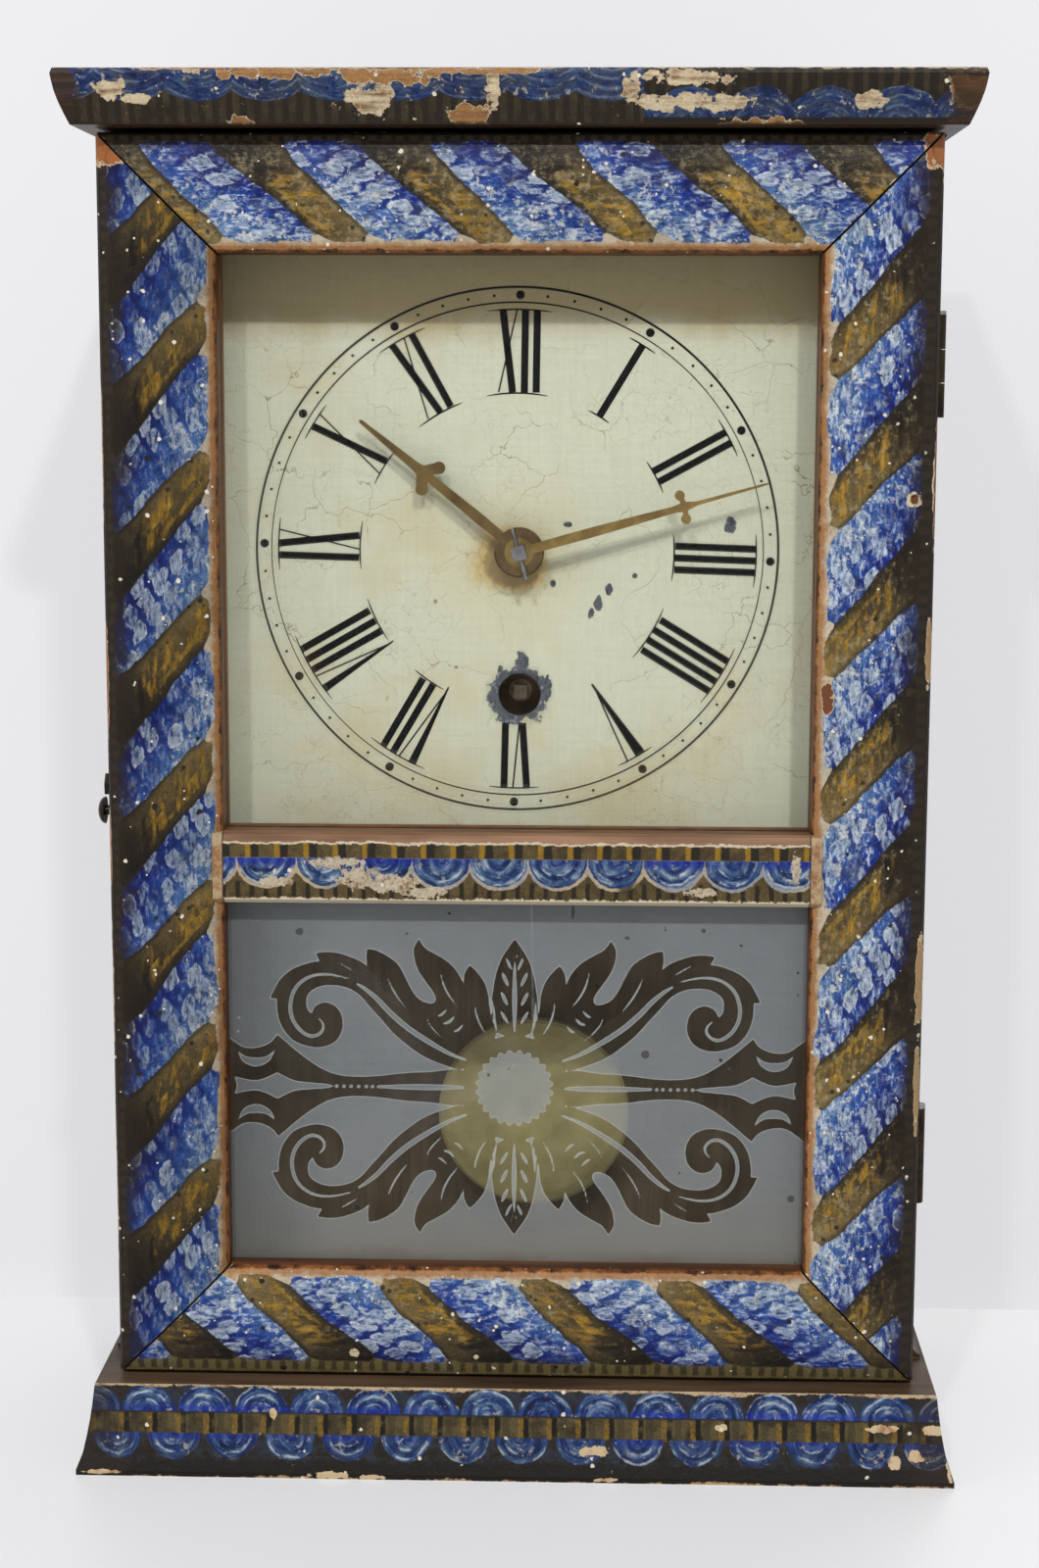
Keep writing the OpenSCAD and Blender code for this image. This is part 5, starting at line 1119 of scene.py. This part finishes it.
for hour, letters in enumerate(["XII", "I", "II", "III", "IIII", "V", "VI", "VII", "VIII", "IX", "X", "XI"]):
    turn = 30 * hour + DIAL_TURNS[hour]
    if letters == "VI":
        stroke(turn, 2.3, 2.1, THICK, r_in=38.2)
        stroke(turn, -2.8, -1.7, THICK, r_in=38.2)
        stroke(turn, 0.3, -1.0, THIN, r_in=38.2)
        serif(turn, -5.6, 5.6, OUTER_R + 0.15)
    else:
        numeral(turn, letters)
RING_OUT, RING_IN = 57.8, 54.5
circle = np.linspace(0, 360, 241)
even = np.ones_like(circle)
bands.append(ribbon(on_ring(RING_OUT * even, circle), 0.52 * even))
bands.append(ribbon(on_ring(RING_IN * even, circle), 0.29 + 0.08 * np.cos(np.radians(circle * 2 + 40))))
print(len(bands), "ribbons")

# %% Dots between the rings
DOT_R = 56.1
minute = np.arange(60)
turns = minute * 6 + np.interp(minute, np.arange(13) * 5, np.append(DIAL_TURNS, DIAL_TURNS[0]))
dot_radius = np.where(minute % 5 == 0, 0.97, 0.33)
rim = np.linspace(0, 2 * np.pi, 17)[:-1]
centres = on_ring(np.full(60, DOT_R), turns)
dots = centres[:, None, :] + dot_radius[:, None, None] * np.stack([np.sin(rim), np.cos(rim)], -1)[None]
print(len(dots), "dots")

# %% One mesh for the whole drawing
INK_OUT = 0.045


def flat_mesh(name, quads_of, discs, plane):
    """Bands become rows of quads and dots become discs, all on one plane that faces the front."""
    points, faces, count = [], [], 0
    for side_a, side_b in quads_of:
        n = len(side_a)
        points += [side_a, side_b]
        i = np.arange(n - 1) + count
        faces += np.stack([i, i + 1, i + 1 + n, i + n], 1).tolist()
        count += 2 * n
    for disc in discs:
        points.append(disc)
        faces.append(list(range(count, count + len(disc))))
        count += len(disc)
    flat = np.concatenate(points)
    place = np.stack([flat[:, 0], np.full(len(flat), plane), flat[:, 1]], 1) / MM
    mesh = bpy.data.meshes.new(name)
    mesh.from_pydata(place.tolist(), [], faces)
    mesh.update()
    towards = np.zeros(len(mesh.polygons) * 3)
    mesh.polygons.foreach_get("normal", towards)
    if towards.reshape(-1, 3)[:, 1].mean() > 0:
        mesh.flip_normals()
    return add_object(name, mesh)


drawing = flat_mesh("dial_drawing", bands, dots, dial_front - INK_OUT)
f = Finish("dial_ink", (9, 9, 8), Specular_IOR_Level=0.12)
f.lay((78, 52, 28), f.noise(26.0, 2.0).rise(0.3, 0.8) * 0.5)
f.lay((190, 188, 166), f.noise(0.7, 4.0, 0.7, shift=6.0).rise(0.75, 0.95))
drawing.data.materials.append(f.done(0.5))
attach(drawing, "case")
print("drawing", len(drawing.data.polygons), "faces")

# %% [markdown]
# ## Glass
# The upper pane is clear, and all that shows of it is its gloss. Full refraction would cost many
# light paths and darken the dial behind it, so the pane is nearly transparent and keeps only the
# mirror of its surface. The lower pane is frosted from behind.

# %% Clear pane
f = Finish("clear_pane", (1.0, 1.0, 1.0, 1.0), Transmission_Weight=1.0, IOR=1.45)
clear = f.done(0.03)
f.shader.inputs["Alpha"].default_value = 0.06
dress(clear, "dial_glass")
print("clear pane done")

# %% [markdown]
# ## Etched ornament
# On the lower pane the glass was left clear in the shape of scrolled leaves round a scalloped disc,
# and frosted everywhere else. One quarter of the ornament is drawn as smooth outlines. From them
# each point of a fine grid gets its distance to the nearest edge, negative where the glass is
# clear. The shader cuts at distance 0, so the edge stays crisp although the grid is coarse. Leaves
# cut as meshes would need far more faces, and a picture of them would blur when seen from near.

# %% Outlines of one quarter
# Points are tenths of a millimetre left of and above the middle; a third value of 1 marks a corner.
# Outlines that meet the middle lines run on past them, so that no edge lies on a middle line.
LEAF = [
    (121, 41, 1), (158, 52), (201, 70), (237, 95), (270, 124), (295, 153), (321, 182), (343, 208), (368, 224),
    (397, 231), (426, 230), (448, 221), (461, 208), (464, 190), (461, 175), (452, 164, 1), (446, 179),
    (434, 188), (419, 191), (401, 184), (388, 168), (383, 146), (386, 125), (397, 106), (415, 94), (441, 89),
    (470, 94), (495, 106), (514, 128), (525, 153), (529, 179), (529, 200, 1), (544, 200, 1), (535, 219),
    (521, 243), (499, 263), (474, 275), (448, 283), (432, 284, 1), (442, 303, 1), (419, 306), (394, 304),
    (364, 295), (339, 283), (325, 270, 1), (329, 292), (327, 314, 1), (306, 310), (281, 297), (259, 279),
    (244, 252), (230, 223), (215, 203), (197, 193), (181, 192), (175, 201), (179, 215), (197, 241), (213, 266),
    (222, 292), (223, 317), (212, 337, 1), (199, 317), (175, 303), (146, 284), (125, 259), (113, 232, 1),
    (111, 259), (100, 279, 1), (85, 265), (68, 241), (59, 212), (56, 183), (50, 154), (40, 128, 1), (60, 60, 1),
    (100, 50, 1),
]
TOP_LEAF = [
    (0, 339, 1), (12, 322), (30, 292), (42, 255), (48, 219), (51, 190), (48, 153), (40, 128, 1), (0, 110, 1),
    (-60, 110, 1), (-60, 339, 1),
]
STEM = [
    (110, 34), (194, 34), (249, 31), (296, 25), (340, 22), (383, 24), (419, 34), (455, 55), (492, 84),
    (517, 106), (530, 117, 1), (545, 98), (575, 86), (605, 87), (628, 101), (650, 118, 1), (700, 118, 1),
    (700, -60, 1), (100, -60, 1),
]
SLITS = [
    ((351, 235), (333, 224), (306, 202), (281, 173), (245, 140), (212, 117), (175, 94), (143, 76), (105, 62)),
    ((365, 245), (390, 252), (415, 256), (439, 255), (461, 248), (480, 234), (492, 217), (499, 193), (500, 171),
     (494, 149), (482, 131), (468, 119), (453, 113), (437, 117), (426, 129), (426, 142), (432, 151), (440, 156)),
    ((392, 283), (374, 273), (352, 259)), ((284, 253), (274, 228), (259, 202), (239, 177)),
    ((165, 264), (159, 235), (146, 209), (125, 183)), ((197, 162), (190, 144), (175, 126), (155, 109)),
    ((90, 199), (86, 169), (77, 144), (62, 120)), ((48, 199), (46, 173), (44, 151), (38, 122)),
    ((171, 163), (163, 165), (150, 179)), ((160, 146), (146, 148), (134, 162)),
    ((137, 127), (125, 131), (114, 145)), ((7, 309), (3, 293)), ((19, 297), (7, 269)), ((28, 264), (14, 232)),
    ((30, 220), (15, 188)), ((31, 176), (14, 147)), ((0, 288), (1, 248), (2, 205), (1, 161), (0, 126)),
]
SLIT_WIDTHS = [13, 9, 4, 5, 5, 4, 5, 6, 6, 7, 6, 3, 7, 9, 9, 8, 8]
CRESCENT = [(620, 82, 1), (598, 66), (558, 66), (534, 84, 1), (548, 56), (577, 43), (607, 54)]
HEART = [
    (629, 21, 1), (585, 12), (559, 17), (530, 31, 1), (494, 13), (455, 8), (420, 5), (403, 0, 1), (403, -60, 1),
    (622, -60, 1), (622, 0),
]
DOTS_AT = np.array([300, 317, 331, 348, 365, 381, 397]) / 10.0
ORNAMENT_AT = np.array([-0.45, 85.4])
print(len(LEAF) + len(STEM) + len(TOP_LEAF), "points of leaf and stem,", len(SLITS), "cuts")

# %% Smooth outlines and lens-shaped cuts


def smooth(points, steps=7):
    """Closed outline through the points in millimetres: Catmull-Rom cubics between neighbours, whose
    tangents are dropped at corners."""
    p = np.array([q[:2] for q in points], float) / 10.0
    sharp = np.array([len(q) > 2 for q in points])
    after, before = np.roll(p, -1, 0), np.roll(p, 1, 0)
    tangent = (after - before) / 2 * ~sharp[:, None]
    t = (np.arange(steps) / steps)[None, :, None]
    a, b, ta, tb = p[:, None], after[:, None], tangent[:, None], np.roll(tangent, -1, 0)[:, None]
    share = 3 * t**2 - 2 * t**3
    curve = (1 - share) * a + share * b + (t**3 - 2 * t**2 + t) * ta + (t**3 - t**2) * tb
    return curve.reshape(-1, 2)


def slit(points, width, steps=6):
    """A lens-shaped cut along an open path: its half width is a sine arch along its length."""
    p = np.array(points, float) / 10.0
    fine = np.linspace(0, len(p) - 1, (len(p) - 1) * steps + 1)
    path = np.stack([np.interp(fine, np.arange(len(p)), p[:, i]) for i in range(2)], 1)
    for _ in range(steps):
        path[1:-1] = (path[:-2] + path[1:-1] * 2 + path[2:]) / 4
    way = np.gradient(path, axis=0)
    side = np.stack([-way[:, 1], way[:, 0]], 1) / np.linalg.norm(way, axis=1)[:, None]
    half = np.sin(np.pi * (0.06 + 0.88 * np.linspace(0, 1, len(path)))) ** 0.6 * width / 20.0
    return np.concatenate([path + side * half[:, None], (path - side * half[:, None])[::-1]])


print("a leaf has", len(smooth(LEAF)), "points when smooth")

# %% Distance to an outline


def signed(at, outline):
    """Distance from each point to a closed outline, negative inside: the nearest point of each edge,
    and the count of edges crossed by a ray to the side."""
    a, b = outline, np.roll(outline, -1, 0)
    edge = b - a
    near = np.full(len(at), 1e9)
    inside = np.zeros(len(at), bool)
    for k in range(0, len(a), 64):
        q, e = at[:, None] - a[None, k:k + 64], edge[None, k:k + 64]
        t = np.clip((q * e).sum(2) / np.maximum((e * e).sum(2), 1e-9), 0, 1)
        near = np.minimum(near, np.linalg.norm(q - e * t[..., None], axis=2).min(1))
        above, above_b = q[..., 1] >= 0, q[..., 1] >= e[..., 1]
        crossing = q[..., 1] / np.where(e[..., 1] == 0, 1e-9, e[..., 1])
        inside ^= ((above != above_b) & (q[..., 0] < crossing * e[..., 0])).sum(1) % 2 == 1
    return np.where(inside, -near, near)


def ornament(at):
    """Distance to the edge of the clear glass: leaves, stem and ring joined, less slits, heart and disc."""
    clear = np.min([signed(at, smooth(o)) for o in (LEAF, TOP_LEAF, STEM)], 0)
    radius, angle = np.hypot(*at.T), np.arctan2(at[:, 1], at[:, 0])
    clear = np.minimum(clear, radius - 12.0)
    cuts = [signed(at, slit(path, width)) for path, width in zip(SLITS, SLIT_WIDTHS)]
    cuts += [
        signed(at, smooth(CRESCENT)), signed(at, smooth(HEART)),
        signed(at, slit(((111, 0), (190, 0), (308, 0)), 14)),
    ]
    cuts.append(radius - 7.7 - 1.1 * np.abs(np.sin(angle * 12)))
    cuts.append((np.hypot(at[:, 0:1] - DOTS_AT, at[:, 1:2]) - 0.46).min(1))
    return np.maximum(clear, -np.min(cuts, 0))


print("at the middle", ornament(np.zeros((1, 2))).round(2), "mm")

# %% Pane with the distance on its points
pane_low, pane_high = corners_mm("tablet_glass")
CELL = 0.38


def pane_grid(name, low, high):
    """A closed slab: a fine grid on the front face, a rim, and one face for the whole back."""
    across = np.linspace(low[0], high[0], int((high[0] - low[0]) / CELL) + 1)
    upward = np.linspace(low[2], high[2], int((high[2] - low[2]) / CELL) + 1)
    x, z = np.meshgrid(across, upward)
    nx, nz, n = len(across), len(upward), x.size
    i = (np.arange(nz - 1)[:, None] * nx + np.arange(nx - 1)).ravel()
    front = np.stack([i, i + 1, i + 1 + nx, i + nx], 1)
    rim = np.concatenate([np.arange(nx), np.arange(1, nz) * nx + nx - 1, (nz - 1) * nx + np.arange(nx - 2, -1, -1),
                          np.arange(nz - 2, 0, -1) * nx])
    m = len(rim)
    behind = n + np.arange(m)
    side = np.stack([rim, behind, np.roll(behind, -1), np.roll(rim, -1)], 1)
    face = np.concatenate([np.stack([x.ravel(), np.full(n, low[1]), z.ravel()], 1),
                           np.stack([x.ravel()[rim], np.full(m, high[1]), z.ravel()[rim]], 1)]) / MM
    mesh = bpy.data.meshes.new(name)
    mesh.vertices.add(len(face))
    mesh.vertices.foreach_set("co", face.ravel())
    quads = np.concatenate([front, side])
    mesh.loops.add(quads.size + m)
    mesh.loops.foreach_set("vertex_index", np.concatenate([quads.ravel(), behind[::-1]]))
    mesh.polygons.add(len(quads) + 1)
    mesh.polygons.foreach_set("loop_start", np.arange(len(quads) + 1) * 4)
    mesh.polygons.foreach_set("material_index", (np.arange(len(quads) + 1) >= len(front)).astype(np.int32))
    mesh.update(calc_edges=True)
    return add_object(name, mesh), face[:, 0] * MM, face[:, 2] * MM


pane, pane_x, pane_z = pane_grid("etched_pane", pane_low, pane_high)
folded = np.stack([np.abs(pane_x - ORNAMENT_AT[0]), np.abs(pane_z - ORNAMENT_AT[1])], 1)
depth = np.clip(ornament(folded), -2.0, 2.0)
etching = pane.data.attributes.new("etching", "FLOAT", "POINT")
etching.data.foreach_set("value", depth.astype(np.float32))
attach(pane, "door")
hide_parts("tablet_glass")
print("pane", len(pane.data.polygons), "faces, clear share", round(float((depth < 0).mean()), 3))

# %% [markdown]
# ## Frost
# Frosted glass veils what lies behind it: the bob is a pale disc, and the case a darker grey. Rough
# transmission would show that with much noise and time. Here the frost is a pale coat with some of
# its alpha taken away, and the clear leaves are a thinner and darker one, under the same gloss.

# %% Frost and clear glass in one finish
f = Finish("etched_glass", (138, 143, 145), Specular_IOR_Level=0.18)
edge = f.node("ShaderNodeAttribute", {"attribute_name": "etching"}, {}, out="Fac")
cloud = f.noise(20.0, 4.0, 0.6)
fine = f.noise(0.8, 3.0, 0.6)
f.grade(cloud + fine * 0.4 + f.noise(5.0, 4.0, 0.7, shift=2.0) * 0.6, 0.09)
mist = f.noise(0.6, 3.0, 0.6, stretch=(0.05, 1.0, 1.0), shift=3.0)
f.grade(mist, 0.04)
# Painted light and shade on the frost: lighter and yellower towards the bottom, darker towards both sides.
f.lay((146, 144, 132), (pane_low[2] + 26.0 - f.z + cloud * 8.0).rise(-4.0, 26.0) * 0.7)
f.lay((88, 92, 92), (abs(f.x + cloud * 4.0) - f.x * 0.16).rise(46.0, 70.0) * 0.5)
f.lay((84, 76, 62), (pane_low[2] + 5.5 - f.z + cloud * 5.0).rise(-1.5, 6.0) * 0.5)
f.lay((190, 193, 186), (edge - fine * 0.03).rise(0.34, 0.14) * 0.6)
frosted = (edge + fine * 0.05).rise(-0.04, 0.06)
f.lay(f.mix((92, 87, 74), (68, 64, 54), cloud.rise(-0.3, 0.4)), 1.0 - frosted)
dirt = f.spots([
    (-48.2, 120.6, 0.9, 0.9), (41.2, 121.6, 0.55, 0.55), (28.6, 93.4, 1.0, 0.9), (12.4, 125.6, 0.35, 1.6),
    (-24.3, 120.4, 0.3, 0.3), (24.4, 119.8, 0.6, 0.4), (61.5, 60.6, 0.8, 0.8),
], fine * 0.4)
f.lay((46, 38, 30), dirt * 0.8)
specks(f, 4.3, 0.2, (52, 48, 42), 23.0, 0.09)
specks(f, 6.1, 0.2, (172, 174, 168), 31.0, 0.05)
f.tree.links.new((frosted * 0.34 + 0.28 + dirt * 0.3).socket, f.shader.inputs["Alpha"])
pane.data.materials.append(f.done(frosted * 0.4 + 0.12, frosted, 0.02))
pane.data.materials.append(clear)
print("glass done")

# %% [markdown]
# ## Size
# Paint and glass must not make the clock larger than its CAD model.
